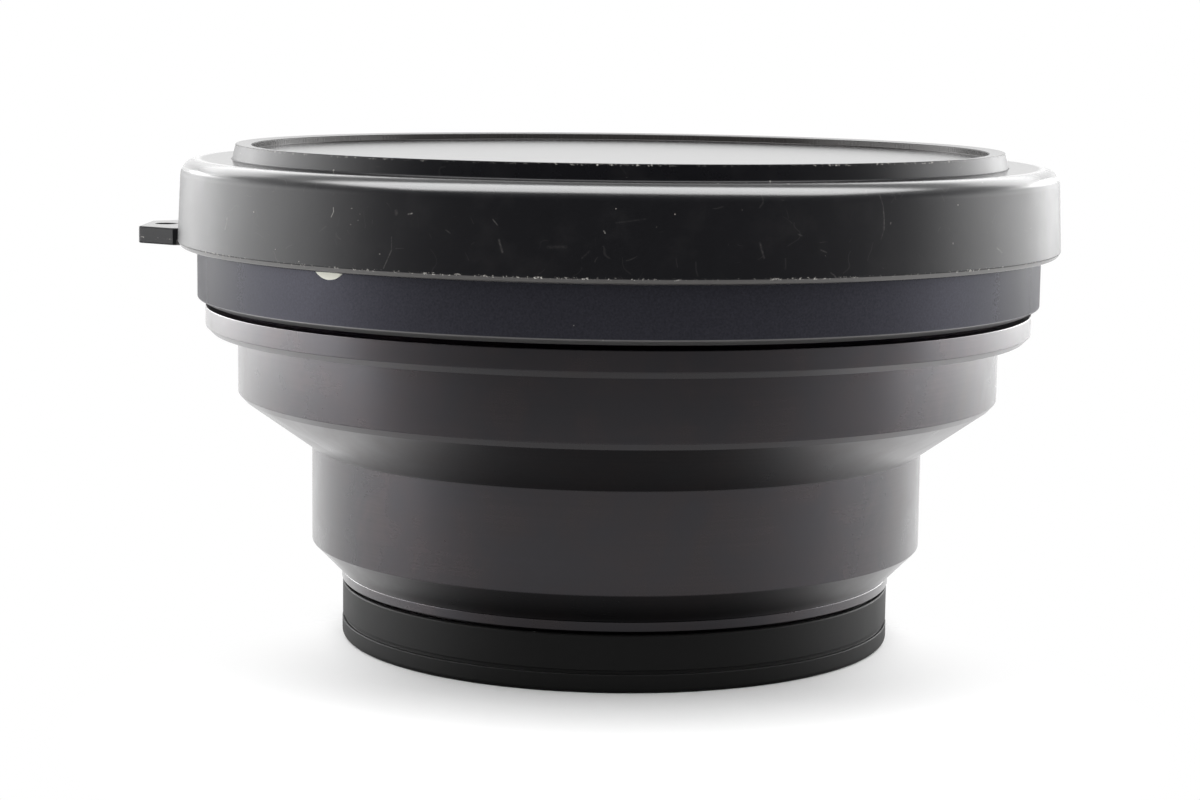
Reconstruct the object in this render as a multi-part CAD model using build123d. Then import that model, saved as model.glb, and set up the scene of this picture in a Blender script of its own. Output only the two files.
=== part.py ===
from build123d import *
import math
import os

# Wide-angle conversion lens, 0.7 times, standing on its rear cap with its front cap on.
# Millimetres, +Z towards the front of the lens, origin at the middle of the rear cap's foot.
# Each piece is turned about Z unless its own comment says otherwise.
# Two radii drive the rest: the rear thread's and the front ring's. An inset or an outset is
# measured in or out from a neighbour's radius, under "Radii that follow".

# Clearances
push_fit = 0.06
thread_fit = 0.05
seat_fit = 0.05
glass_fit = 0.05
rib_fit = 0.08
dot_fit = 0.02
cement_gap = 0.02
baffle_gap = 0.5

# How far a cutting solid runs past the face that it cuts, and how far a rib runs into its wall
cut_margin = 1.0
wall_bite = 0.2

# Rear cap: a push-on cup with a finger groove above its foot
rear_floor = 1.3
rear_seat_step = 0.6
rear_seat_width = 2.4
rear_wall = 0.69
rear_foot_outset = 0.05
rear_foot_height = 1.95
rear_foot_round = 0.5
rear_groove_depth = 0.25
rear_groove_width = 0.35
rear_groove_round = 0.12
rear_rim_gap = 0.37
rear_rim_round = 0.2
rear_lead_in = 0.25

# Rear mount ring: male thread crest, flange and locating spigot
thread_radius = 28.9
thread_length = 4.4
thread_lead = 0.4
relief_depth = 0.5
relief_height = 0.7
flange_outset = 0.85
flange_height = 1.01
spigot_inset = 0.9
spigot_height = 1.4
rear_bore_margin = 0.1
rear_bore_flare = 1.0

# Barrel: lower cone, waist, upper cone, the two bands and the neck under the front ring
lower_cone_height = 3.27
waist_outset = 3.2
waist_height = 10.3
upper_cone_height = 5.18
upper_cone_inset = 0.6
band_inset = 4.2
band_height = 7.18
band_chamfer_height = 0.66
rim_band_inset = 0.82
rim_band_height = 2.72
rim_band_chamfer = 0.65
neck_inset = 2.0
ring_gap = 0.44

# Front ring
ring_radius = 45.0
ring_height = 13.19
ring_foot_width = 0.91
ring_foot_height = 0.48
ring_top_chamfer = 0.4
ring_lip = 1.4
ring_mouth_inset = 4.6
ring_mouth_bevel = 1.0
index_dot_radius = 2.6
index_dot_drop = 5.7
index_dot_angle = 232.4
index_dot_depth = 0.15

# Set screws of the front ring
set_screw_count = 3
set_screw_first_angle = 30.0
set_screw_radius = 1.0
set_screw_length = 2.2
set_screw_drop = 4.1
set_screw_inset = 0.4
hex_across_flats = 0.9
hex_depth = 1.0

# Front cap: a shallow cup with a tether lug, wider at its root, that points along -X
cap_depth = 7.45
cap_top = 1.8
cap_skirt_gap = 0.4
cap_skirt_draft = 0.2
cap_shoulder_wall = 1.2
cap_mouth_wall = 1.43
cap_mouth_chamfer_width = 0.83
cap_mouth_chamfer_height = 0.63
cap_shoulder_round = 1.8
cap_ledge_width = 5.3
cap_rim_taper = 0.4
cap_rim_width = 1.7
cap_rim_height = 1.5
cap_recess_depth = 0.8
cap_disc_thickness = 1.5
cap_stop_inset = 5.0
cap_inner_round = 0.8
cap_rib_count = 12
cap_rib_width = 1.2
cap_rib_lead = 0.8
lug_tip_width = 8.4
lug_root_width = 14.0
lug_reach = 4.1
lug_thickness = 1.8
lug_corner = 0.5
tether_hole_radius = 1.1
tether_hole_inset = 2.3

# Front element: a negative meniscus
front_vertex_drop = 0.4
front_element_inset = 7.0
front_rim_width = 1.2
front_outer_curve = 150.0
bowl_rim_width = 10.0
bowl_depth = 13.34
front_centre_thickness = 4.0
shim_thickness = 0.4
shim_width = 2.6
seal_height = 1.1
seal_width = 1.0
seal_drop = 2.5
front_lock_height = 2.2
front_lock_outset = 1.85
front_lock_grip = 1.1
front_lock_flare = 1.3
front_lock_shoulder = 0.4
front_slot_depth = 1.0
spanner_slot_width = 2.0

# Light baffle between the lens groups
baffle_flange = 0.6
baffle_wall = 0.9
baffle_steps = 7
baffle_waist_margin = 0.8
baffle_lift = 1.98
ledge_width = 3.2

# Rear doublet: flint in front, crown behind
rear_group_inset = 0.85
rear_rim_width = 1.3
flint_outer_curve = 64.5
cement_curve = 52.0
crown_outer_curve = 120.0
flint_centre_thickness = 2.2
crown_edge_thickness = 1.45
rear_ledge_height = 1.2
rear_lock_height = 1.2
rear_lock_gap = 0.145
rear_lock_inset = 1.65
rear_lock_flare = 0.9
rear_lock_shoulder = 0.35
rear_slot_depth = 0.5

# Radii that follow, from the rear thread and from the front ring
flange_radius = thread_radius + flange_outset
waist_radius = flange_radius + waist_outset
spigot_radius = thread_radius - spigot_inset
rear_lock_radius = spigot_radius - rear_lock_inset
rear_group_radius = rear_lock_radius - rear_group_inset
rear_clear_radius = rear_group_radius - rear_rim_width
rear_bore_radius = rear_group_radius + rear_bore_margin
baffle_waist_radius = rear_clear_radius + baffle_waist_margin
neck_radius = ring_radius - neck_inset
rim_band_radius = ring_radius - rim_band_inset
band_radius = ring_radius - band_inset
upper_cone_radius = band_radius - upper_cone_inset
ring_mouth_radius = ring_radius - ring_mouth_inset
front_element_radius = ring_radius - front_element_inset
front_clear_radius = front_element_radius - front_rim_width
front_bowl_radius = front_element_radius - bowl_rim_width
front_lock_radius = front_element_radius + front_lock_outset
front_lock_bore_radius = front_element_radius - front_lock_grip
cap_inner_top_radius = ring_radius + cap_skirt_gap
cap_inner_mouth_radius = cap_inner_top_radius + cap_skirt_draft
cap_shoulder_radius = cap_inner_top_radius + cap_shoulder_wall
cap_mouth_radius = cap_inner_mouth_radius + cap_mouth_wall
cap_rim_foot_radius = cap_shoulder_radius - cap_ledge_width
cap_rim_top_radius = cap_rim_foot_radius - cap_rim_taper
cap_rim_inner_radius = cap_rim_top_radius - cap_rim_width
cap_stop_radius = ring_radius - cap_stop_inset

# Heights that follow, from the floor up
seat_z = rear_floor + rear_seat_step
flange_z = seat_z + thread_length
barrel_z = flange_z + flange_height
rear_cap_z = flange_z - rear_rim_gap
waist_z = barrel_z + lower_cone_height
upper_cone_z = waist_z + waist_height
band_z = upper_cone_z + upper_cone_height
rim_band_z = band_z + band_height
shoulder_z = rim_band_z + rim_band_height
ring_z = shoulder_z + ring_gap
ring_top_z = ring_z + ring_height
neck_z = ring_top_z - ring_lip
set_screw_z = ring_top_z - set_screw_drop
index_dot_z = ring_top_z - index_dot_drop
cap_mouth_z = ring_top_z - cap_depth
cap_ledge_z = ring_top_z + cap_top
cap_rim_z = cap_ledge_z + cap_rim_height
cap_disc_z = cap_rim_z - cap_recess_depth
cap_ceiling_z = cap_disc_z - cap_disc_thickness


def sag(curve, height):
    """How far a spherical surface lies below its vertex at this height from the axis."""
    depth = abs(curve) - math.sqrt(curve**2 - height**2)
    return math.copysign(depth, curve)


# Front element and the seats that follow from it, from the front down
front_vertex_z = ring_top_z - front_vertex_drop
front_back_z = front_vertex_z - front_centre_thickness
front_flat_z = front_vertex_z - sag(front_outer_curve, front_clear_radius)
front_inner_curve = (front_bowl_radius**2 + bowl_depth**2) / (2 * bowl_depth)
bowl_flat_z = front_back_z - bowl_depth
baffle_top_z = bowl_flat_z - shim_thickness
ledge_z = baffle_top_z - baffle_flange

# Rear doublet, from its lock ring up. The air space in front of it is what the barrel leaves.
rear_lock_z = barrel_z + spigot_height + rear_lock_gap + rear_lock_height
crown_back_z = rear_lock_z - sag(crown_outer_curve, rear_clear_radius)
crown_edge_z = rear_lock_z + crown_edge_thickness
cement_z = crown_edge_z + sag(cement_curve, rear_group_radius)
flint_front_z = cement_z + flint_centre_thickness
rear_ledge_z = flint_front_z - sag(flint_outer_curve, rear_clear_radius)
rear_shelf_z = rear_ledge_z + rear_ledge_height
baffle_bottom_z = rear_shelf_z + baffle_lift


def turned(*corners):
    """Solid of revolution about Z from the (radius, height, rounding) corners of a half section."""
    starts, ends, arcs = [], [], []
    for i, corner in enumerate(corners):
        here = Vector(corner[0], 0, corner[1])
        rounding = corner[2] if len(corner) == 3 else 0
        if rounding == 0:
            starts.append(here)
            ends.append(here)
            arcs.append(None)
            continue
        before, after = corners[i - 1], corners[(i + 1) % len(corners)]
        back = (Vector(before[0], 0, before[1]) - here).normalized()
        ahead = (Vector(after[0], 0, after[1]) - here).normalized()
        half_angle = math.radians(back.get_angle(ahead)) / 2
        reach = rounding / math.tan(half_angle)
        middle = (back + ahead).normalized()
        near = here + middle * (rounding / math.sin(half_angle) - rounding)
        starts.append(here + back * reach)
        ends.append(here + ahead * reach)
        arcs.append(ThreePointArc(starts[-1], near, ends[-1]))
    outline = []
    for i in range(len(corners)):
        if arcs[i]:
            outline.append(arcs[i])
        following = starts[(i + 1) % len(corners)]
        outline.append(Line(ends[i], following))
    return revolve(make_face(Wire(outline)), Axis.Z)


def lens_surface(vertex_z, curve, reach):
    """Half section of a spherical surface, from the axis out."""
    middle = reach / 2
    return ThreePointArc(
        (0, 0, vertex_z),
        (middle, 0, vertex_z - sag(curve, middle)),
        (reach, 0, vertex_z - sag(curve, reach)),
    )


def lens_element(front, back, edge_radius):
    """Glass element from its front and back (vertex height, curve, clear radius), with flat rims.

    A curve is positive where the surface falls away below its vertex.
    """
    axis_ends, edge_ends, outline = [], [], []
    for vertex_z, curve, clear_radius in (front, back):
        rim_z = vertex_z - sag(curve, clear_radius)
        outline.append(lens_surface(vertex_z, curve, clear_radius))
        if clear_radius < edge_radius:
            outline.append(Line((clear_radius, 0, rim_z), (edge_radius, 0, rim_z)))
        axis_ends.append((0, 0, vertex_z))
        edge_ends.append((edge_radius, 0, rim_z))
    outline += [Line(*axis_ends), Line(*edge_ends)]
    return revolve(make_face(Wire(outline)), Axis.Z)


def around(count, first_angle=0.0):
    """Rotations about Z for copies that are spread evenly."""
    return [Rot(0, 0, first_angle + 360 * i / count) for i in range(count)]


def ring_tube(inner_radius, outer_radius, bottom_z, top_z):
    return turned(
        (inner_radius, bottom_z), (outer_radius, bottom_z), (outer_radius, top_z), (inner_radius, top_z)
    )


def spanner_slots(ring_radius, face_z, depth):
    """Bar across a lock ring that cuts its two spanner slots in the face at this height."""
    return Pos(0, 0, face_z) * Box(2 * (ring_radius + cut_margin), spanner_slot_width, 2 * depth)


def make_rear_cap():
    inner = thread_radius + push_fit
    outer = inner + rear_wall
    foot = outer + rear_foot_outset
    groove = outer - rear_groove_depth
    return turned(
        (0, 0),
        (foot, 0, rear_foot_round),
        (foot, rear_foot_height, rear_groove_round),
        (groove, rear_foot_height),
        (groove, rear_foot_height + rear_groove_width),
        (outer, rear_foot_height + rear_groove_width, rear_groove_round),
        (outer, rear_cap_z, rear_rim_round),
        (inner + rear_lead_in, rear_cap_z),
        (inner, rear_cap_z - rear_lead_in),
        (inner, seat_z),
        (inner - rear_seat_width, seat_z),
        (inner - rear_seat_width, rear_floor),
        (0, rear_floor),
    )


def make_rear_mount_ring():
    relief = thread_radius - relief_depth
    return turned(
        (rear_bore_radius + rear_bore_flare, seat_z),
        (thread_radius - thread_lead, seat_z),
        (thread_radius, seat_z + thread_lead),
        (thread_radius, flange_z - relief_height),
        (relief, flange_z - relief_height),
        (relief, flange_z),
        (flange_radius, flange_z),
        (flange_radius, barrel_z),
        (spigot_radius, barrel_z),
        (spigot_radius, barrel_z + spigot_height),
        (rear_bore_radius, barrel_z + spigot_height),
        (rear_bore_radius, seat_z + rear_bore_flare),
    )


def make_barrel():
    spigot_bore = spigot_radius + thread_fit
    rear_lock_bore = rear_lock_radius + thread_fit
    rear_bore = rear_group_radius + glass_fit
    front_bore = front_element_radius + glass_fit
    front_lock_bore = front_lock_radius + thread_fit
    baffle_outer = baffle_wall + baffle_gap
    seal_top_z = front_flat_z - seal_drop
    seal_groove = front_bore + seal_width
    return turned(
        (spigot_bore, barrel_z),
        (flange_radius, barrel_z),
        (waist_radius, waist_z),
        (waist_radius, upper_cone_z),
        (upper_cone_radius, band_z),
        (band_radius, band_z + band_chamfer_height),
        (band_radius, rim_band_z),
        (rim_band_radius - rim_band_chamfer, rim_band_z),
        (rim_band_radius, rim_band_z + rim_band_chamfer),
        (rim_band_radius, shoulder_z),
        (neck_radius, shoulder_z),
        (neck_radius, neck_z),
        (front_lock_bore, neck_z),
        (front_lock_bore, front_flat_z - front_lock_shoulder),
        (front_bore, front_flat_z - front_lock_shoulder),
        (front_bore, seal_top_z),
        (seal_groove, seal_top_z),
        (seal_groove, seal_top_z - seal_height - 2 * seat_fit),
        (front_bore, seal_top_z - seal_height - 2 * seat_fit),
        (front_bore, ledge_z),
        (front_bore - ledge_width, ledge_z),
        (baffle_waist_radius + baffle_outer, baffle_bottom_z),
        (rear_clear_radius, rear_shelf_z),
        (rear_clear_radius, rear_ledge_z),
        (rear_bore, rear_ledge_z),
        (rear_bore, rear_lock_z + rear_lock_shoulder),
        (rear_lock_bore, rear_lock_z + rear_lock_shoulder),
        (rear_lock_bore, barrel_z + spigot_height + seat_fit),
        (spigot_bore, barrel_z + spigot_height + seat_fit),
    ) - set_screw_bores()


def set_screw_bores():
    """Radial holes through the front ring, with their dimples in the barrel's neck."""
    inner = ring_radius - set_screw_inset - set_screw_length - seat_fit
    length = ring_radius - inner + cut_margin
    bore = Pos(inner, 0, set_screw_z) * Rot(0, 90, 0) * Cylinder(
        set_screw_radius + thread_fit, length, align=(Align.CENTER, Align.CENTER, Align.MIN)
    )
    return Compound([turn * bore for turn in around(set_screw_count, set_screw_first_angle)])


def make_set_screws():
    """Grub screws with a hexagon socket, flush inside the front ring."""
    outer = ring_radius - set_screw_inset
    lie = Pos(outer, 0, set_screw_z) * Rot(0, -90, 0)
    shank = Cylinder(
        set_screw_radius, set_screw_length, align=(Align.CENTER, Align.CENTER, Align.MIN)
    )
    socket = extrude(RegularPolygon(hex_across_flats / 2, 6, major_radius=False), hex_depth)
    screw = lie * (shank - socket)
    return Compound([turn * screw for turn in around(set_screw_count, set_screw_first_angle)])


def index_dot_bar(radius):
    """Round bar along the index dot's own axis, across the front ring's surface."""
    length = 2 * (index_dot_radius + index_dot_depth)
    lie = Rot(0, 0, index_dot_angle) * Pos(ring_radius, 0, index_dot_z) * Rot(0, 90, 0)
    return lie * Cylinder(radius, length)


def make_front_ring():
    bore = neck_radius + seat_fit
    body = turned(
        (bore, ring_z),
        (ring_radius - ring_foot_width, ring_z),
        (ring_radius, ring_z + ring_foot_height),
        (ring_radius, ring_top_z - ring_top_chamfer),
        (ring_radius - ring_top_chamfer, ring_top_z),
        (ring_mouth_radius + ring_mouth_bevel, ring_top_z),
        (ring_mouth_radius, ring_top_z - ring_mouth_bevel),
        (ring_mouth_radius, neck_z),
        (bore, neck_z),
    )
    pocket_floor = ring_radius - index_dot_depth
    pocket = index_dot_bar(index_dot_radius) & ring_tube(
        pocket_floor, ring_radius + cut_margin, ring_z, ring_top_z
    )
    return body - set_screw_bores() - pocket


def make_index_dot():
    """Paint that fills the front ring's round pocket almost to the surface."""
    floor_radius = ring_radius - index_dot_depth + dot_fit
    band = ring_tube(floor_radius, ring_radius, ring_z, ring_top_z)
    return index_dot_bar(index_dot_radius - dot_fit) & band


def make_front_lock_ring():
    top_z = front_flat_z + front_lock_height
    body = turned(
        (front_lock_bore_radius, front_flat_z),
        (front_lock_radius, front_flat_z),
        (front_lock_radius, top_z),
        (front_lock_bore_radius + front_lock_flare, top_z),
        (front_lock_bore_radius, top_z - front_lock_flare),
    )
    return body - spanner_slots(front_lock_radius, top_z, front_slot_depth)


def make_rear_lock_ring():
    bottom_z = rear_lock_z - rear_lock_height
    body = turned(
        (rear_clear_radius, rear_lock_z),
        (rear_lock_radius, rear_lock_z),
        (rear_lock_radius, bottom_z),
        (rear_clear_radius + rear_lock_flare, bottom_z),
        (rear_clear_radius, bottom_z + rear_lock_flare),
    )
    return body - spanner_slots(rear_lock_radius, bottom_z, rear_slot_depth)


def make_light_baffle():
    """Cone with a staircase bore, hung by its flange on the barrel's ledge."""
    flange_edge = front_element_radius
    outer_mouth = front_element_radius + glass_fit - ledge_width - baffle_gap
    outer_waist = baffle_waist_radius + baffle_wall
    step_down = (ledge_z - baffle_bottom_z) / baffle_steps
    step_in = (outer_mouth - outer_waist) / baffle_steps
    stairs = []
    for i in range(baffle_steps):
        radius = outer_mouth - baffle_wall - (i + 1) * step_in
        stairs.append((radius, ledge_z - i * step_down))
        stairs.append((radius, ledge_z - (i + 1) * step_down))
    stairs[0] = (stairs[0][0], baffle_top_z)
    return turned(
        *stairs,
        (outer_waist, baffle_bottom_z),
        (outer_mouth, ledge_z),
        (flange_edge, ledge_z),
        (flange_edge, baffle_top_z),
    )


def make_front_cap():
    shell = turned(
        (0, cap_ceiling_z),
        (cap_stop_radius, cap_ceiling_z),
        (cap_stop_radius, ring_top_z),
        (cap_inner_top_radius, ring_top_z, cap_inner_round),
        (cap_inner_mouth_radius, cap_mouth_z),
        (cap_mouth_radius - cap_mouth_chamfer_width, cap_mouth_z),
        (cap_mouth_radius, cap_mouth_z + cap_mouth_chamfer_height),
        (cap_shoulder_radius, cap_ledge_z, cap_shoulder_round),
        (cap_rim_foot_radius, cap_ledge_z),
        (cap_rim_top_radius, cap_rim_z),
        (cap_rim_inner_radius, cap_rim_z),
        (cap_rim_inner_radius, cap_disc_z),
        (0, cap_disc_z),
    )
    return shell + cap_ribs() + cap_lug()


def cap_ribs():
    """Grip ribs inside the skirt, which bear on the front ring."""
    inner = ring_radius + rib_fit
    outer = cap_inner_mouth_radius + wall_bite
    height = cap_depth - cap_rib_lead
    rib = Pos((inner + outer) / 2, 0, ring_top_z - height / 2) * Box(
        outer - inner, cap_rib_width, height
    )
    return [turn * rib for turn in around(cap_rib_count, 180 / cap_rib_count)]


def cap_lug():
    """Flat tether lug that stands out of the skirt, level with the cap's mouth."""
    tip = cap_mouth_radius + lug_reach
    half_outline = [
        (-tip, lug_tip_width / 2),
        (-cap_mouth_radius, lug_root_width / 2),
        (-cap_inner_mouth_radius, lug_root_width / 2),
    ]
    other_half = [(x, -y) for x, y in reversed(half_outline)]
    sketch = make_face(Polyline(*half_outline, *other_half, close=True))
    sketch = fillet(sketch.vertices().sort_by(Axis.X)[:2], lug_corner)
    sketch -= Pos(-(tip - tether_hole_inset), 0) * Circle(tether_hole_radius)
    sketch -= Circle(cap_inner_mouth_radius + wall_bite)
    return Pos(0, 0, cap_mouth_z) * extrude(sketch, lug_thickness)


def make_front_element():
    return lens_element(
        (front_vertex_z, front_outer_curve, front_clear_radius),
        (front_back_z, front_inner_curve, front_bowl_radius),
        front_element_radius,
    )


def make_flint_element():
    return lens_element(
        (flint_front_z, flint_outer_curve, rear_clear_radius),
        (cement_z, cement_curve, rear_group_radius),
        rear_group_radius,
    )


def make_crown_element():
    return lens_element(
        (cement_z - cement_gap, cement_curve, rear_group_radius),
        (crown_back_z, -crown_outer_curve, rear_clear_radius),
        rear_group_radius,
    )


def make_shim_ring():
    return ring_tube(front_element_radius - shim_width, front_element_radius, baffle_top_z, bowl_flat_z)


def make_edge_seal():
    """Square section rubber ring in the barrel's groove, round the front element's edge."""
    inner = front_element_radius + glass_fit
    top_z = front_flat_z - seal_drop - seat_fit
    return ring_tube(inner, inner + seal_width - seat_fit, top_z - seal_height, top_z)


pieces = {
    "rear_cap": make_rear_cap,
    "rear_mount_ring": make_rear_mount_ring,
    "lens_barrel": make_barrel,
    "rear_lock_ring": make_rear_lock_ring,
    "rear_crown_element": make_crown_element,
    "rear_flint_element": make_flint_element,
    "light_baffle": make_light_baffle,
    "shim_ring": make_shim_ring,
    "front_element": make_front_element,
    "edge_seal": make_edge_seal,
    "front_lock_ring": make_front_lock_ring,
    "front_ring": make_front_ring,
    "front_ring_set_screws": make_set_screws,
    "index_dot": make_index_dot,
    "front_cap": make_front_cap,
}

os.makedirs("parts", exist_ok=True)
for name, make in pieces.items():
    export_step(make(), f"parts/{name}.step")
    print(name)
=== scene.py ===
import math

import bmesh
import bpy
from mathutils import Matrix, Vector


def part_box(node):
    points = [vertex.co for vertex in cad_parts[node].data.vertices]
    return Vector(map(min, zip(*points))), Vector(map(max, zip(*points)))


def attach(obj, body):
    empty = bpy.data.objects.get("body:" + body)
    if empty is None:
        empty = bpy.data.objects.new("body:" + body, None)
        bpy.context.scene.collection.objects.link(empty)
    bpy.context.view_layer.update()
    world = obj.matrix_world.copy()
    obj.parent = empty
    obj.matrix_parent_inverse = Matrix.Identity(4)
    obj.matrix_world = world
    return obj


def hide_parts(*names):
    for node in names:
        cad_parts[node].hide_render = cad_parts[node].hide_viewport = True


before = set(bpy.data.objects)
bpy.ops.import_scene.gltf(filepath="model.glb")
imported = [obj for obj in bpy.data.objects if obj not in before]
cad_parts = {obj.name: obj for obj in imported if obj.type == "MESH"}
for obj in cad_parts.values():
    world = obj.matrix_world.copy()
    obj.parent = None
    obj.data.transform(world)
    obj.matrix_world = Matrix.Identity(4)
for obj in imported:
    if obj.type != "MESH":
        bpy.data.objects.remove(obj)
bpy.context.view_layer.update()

bl_info = {
    "name": "Wide-angle conversion lens",
    "version": (1, 0, 0),
    "blender": (4, 5, 0),
    "location": "3D View > Sidebar > Lens",
    "description": "Makes the lens's turned, moulded and polished pieces around the packed frame",
    "category": "Object",
}

MM = 0.001

# Each turned or moulded edge is broken by this much, so that it catches a thin line of light.
EDGE_BREAK = 0.1 * MM

# Points nearer than this to the axis are on it.
ON_AXIS = 1e-9

# A limit outside the part, in millimetres, where a mask is open to one side.
BEYOND = 60.0

_, REAR_CAP_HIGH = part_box("rear_cap")
MOUNT_LOW, MOUNT_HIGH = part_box("rear_mount_ring")
BARREL_LOW, BARREL_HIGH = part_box("lens_barrel")
RING_LOW, RING_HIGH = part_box("front_ring")
CAP_LOW, CAP_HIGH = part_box("front_cap")


def linear(code):
    """Turns an sRGB hex colour into linear red, green and blue."""
    parts = [int(code[i : i + 2], 16) / 255 for i in (1, 3, 5)]
    return tuple(p / 12.92 if p <= 0.04045 else ((p + 0.055) / 1.055) ** 2.4 for p in parts)


def colour(name, description, code):
    """Colour property, whose default is an sRGB hex colour."""
    return bpy.props.FloatVectorProperty(
        name=name, description=description, subtype="COLOR", size=3, min=0, max=1, default=linear(code)
    )


def size(name, description, value):
    """Length property in metres."""
    return bpy.props.FloatProperty(
        name=name, description=description, default=value, min=0,
        unit="LENGTH", subtype="DISTANCE", precision=5,
    )


def turn_of(name, description, degrees):
    """Angle property, whose default is given in degrees."""
    return bpy.props.FloatProperty(
        name=name, description=description, default=math.radians(degrees), subtype="ANGLE"
    )


class FrontCapSizes(bpy.types.PropertyGroup):
    mouth: size("Mouth radius", "Outside of the skirt at the cap's mouth", CAP_HIGH.x)
    shoulder: size("Shoulder radius", "Outside of the skirt at the top", CAP_HIGH.x - 0.43 * MM)
    shoulder_round: size("Shoulder rounding", "Rounding between the skirt and the ledge", 1.8 * MM)
    skirt_wall: size("Skirt wall", "Thickness of the skirt at its mouth", 1.43 * MM)
    ledge: size("Ledge width", "From the shoulder's outside to the rim's foot", 5.3 * MM)
    ledge_drop: size("Ledge depth", "How far the shoulder's top lies below the top of the rim", 1.5 * MM)
    rim_taper: size("Rim taper", "How far the rim leans in from its foot to its top", 0.4 * MM)
    rim_width: size("Rim width", "Width of the rim's top", 1.7 * MM)
    recess: size("Recess depth", "How far the middle disc lies below the rim", 0.8 * MM)
    disc: size("Disc thickness", "Thickness of the middle disc", 1.5 * MM)
    rib_width: size("Rib width", "Width of the grip ribs inside the skirt", 1.2 * MM)
    lug_reach: size("Lug length", "How far the tether lug stands out of the skirt", 4.1 * MM)
    lug_tip: size("Lug tip width", "Width of the tether lug at its tip", 8.4 * MM)
    lug_root: size("Lug root width", "Width of the tether lug at the skirt", 14.0 * MM)
    lug_thickness: size("Lug thickness", "Thickness of the tether lug", 1.8 * MM)
    tether_hole: size("Tether hole radius", "Radius of the hole through the lug", 1.1 * MM)
    plastic: colour("Plastic", "Moulded black plastic", "#0C0C10")
    wear: colour("Wear", "Scuffed and scratched plastic", "#A9A6A1")
    dust: colour("Dust", "Dust that lies on the cap", "#B9B2AC")


class FrontRingSizes(bpy.types.PropertyGroup):
    radius: size("Radius", "Outside of the front ring", RING_HIGH.x)
    foot_width: size("Foot chamfer width", "Width of the chamfer at the ring's foot", 0.91 * MM)
    foot_height: size("Foot chamfer height", "Height of the chamfer at the ring's foot", 0.48 * MM)
    mouth_inset: size("Mouth inset", "How far the ring's mouth lies in from its outside", 4.6 * MM)
    dot_radius: size("Index dot radius", "Radius of the index dot", 2.6 * MM)
    anodise: colour("Anodised finish", "Blasted and black anodised aluminium", "#2F2F36")
    dot: colour("Index dot", "Paint in the index dot", "#E4E3D6")


class BarrelSizes(bpy.types.PropertyGroup):
    rim_band: size("Rim band radius", "Outside of the narrow band under the front ring", BARREL_HIGH.x)
    band: size("Band radius", "Outside of the wide band", BARREL_HIGH.x - 3.38 * MM)
    waist: size("Waist radius", "Outside of the waist", BARREL_HIGH.x - 11.23 * MM)
    lower_cone: size("Lower cone height", "From the flange up to the waist", 3.27 * MM)
    waist_height: size("Waist height", "Height of the waist", 10.3 * MM)
    upper_cone: size("Upper cone height", "From the waist up to the wide band", 5.18 * MM)
    band_height: size("Band height", "Height of the wide band with its chamfer", 7.18 * MM)
    rim_band_height: size("Rim band height", "Height of the narrow band with its chamfer", 2.72 * MM)
    anodise: colour("Anodised finish", "Turned and black anodised aluminium", "#1B161F")
    stain: colour("Stain", "Brownish stains in the anodised finish", "#2B2226")


class MountSizes(bpy.types.PropertyGroup):
    flange: size("Flange radius", "Outside of the flange that meets the camera's lens", MOUNT_HIGH.x)
    flange_height: size("Flange height", "Thickness of the flange", 1.01 * MM)
    crest: size("Thread crest radius", "Outside of the 58 mm male thread", MOUNT_HIGH.x - 0.85 * MM)
    pitch: size("Thread pitch", "Distance from one turn of the thread to the next", 0.75 * MM)


class RearCapSizes(bpy.types.PropertyGroup):
    foot: size("Foot radius", "Outside of the foot below the finger groove", REAR_CAP_HIGH.x)
    foot_height: size("Foot height", "Height of the foot", 1.95 * MM)
    groove_width: size("Groove width", "Width of the finger groove above the foot", 0.35 * MM)
    groove_depth: size("Groove depth", "Depth of the finger groove", 0.25 * MM)
    wall: size("Wall", "Thickness of the cap's wall", 0.69 * MM)
    floor: size("Floor", "Thickness of the cap's floor", 1.3 * MM)
    plastic: colour("Plastic", "Moulded black plastic", "#0F0F0F")


class StageSizes(bpy.types.PropertyGroup):
    focal: bpy.props.FloatProperty(
        name="Focal length", description="Focal length on a 36 mm wide sensor",
        default=79.725, min=1, unit="CAMERA",
    )
    distance: size("Camera distance", "Distance of the camera from the lens's axis", 0.28646)
    height: size("Camera height", "Height of the camera above the floor", 0.0642)
    yaw: turn_of("Yaw", "Turn of the camera to the right", -0.364)
    pitch: turn_of("Pitch", "Tilt of the camera down", 7.725)
    roll: turn_of("Roll", "Turn of the camera about its own axis", 0.717)
    paper: colour("Paper", "White paper sweep under the lens", "#F4F4F4")


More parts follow.
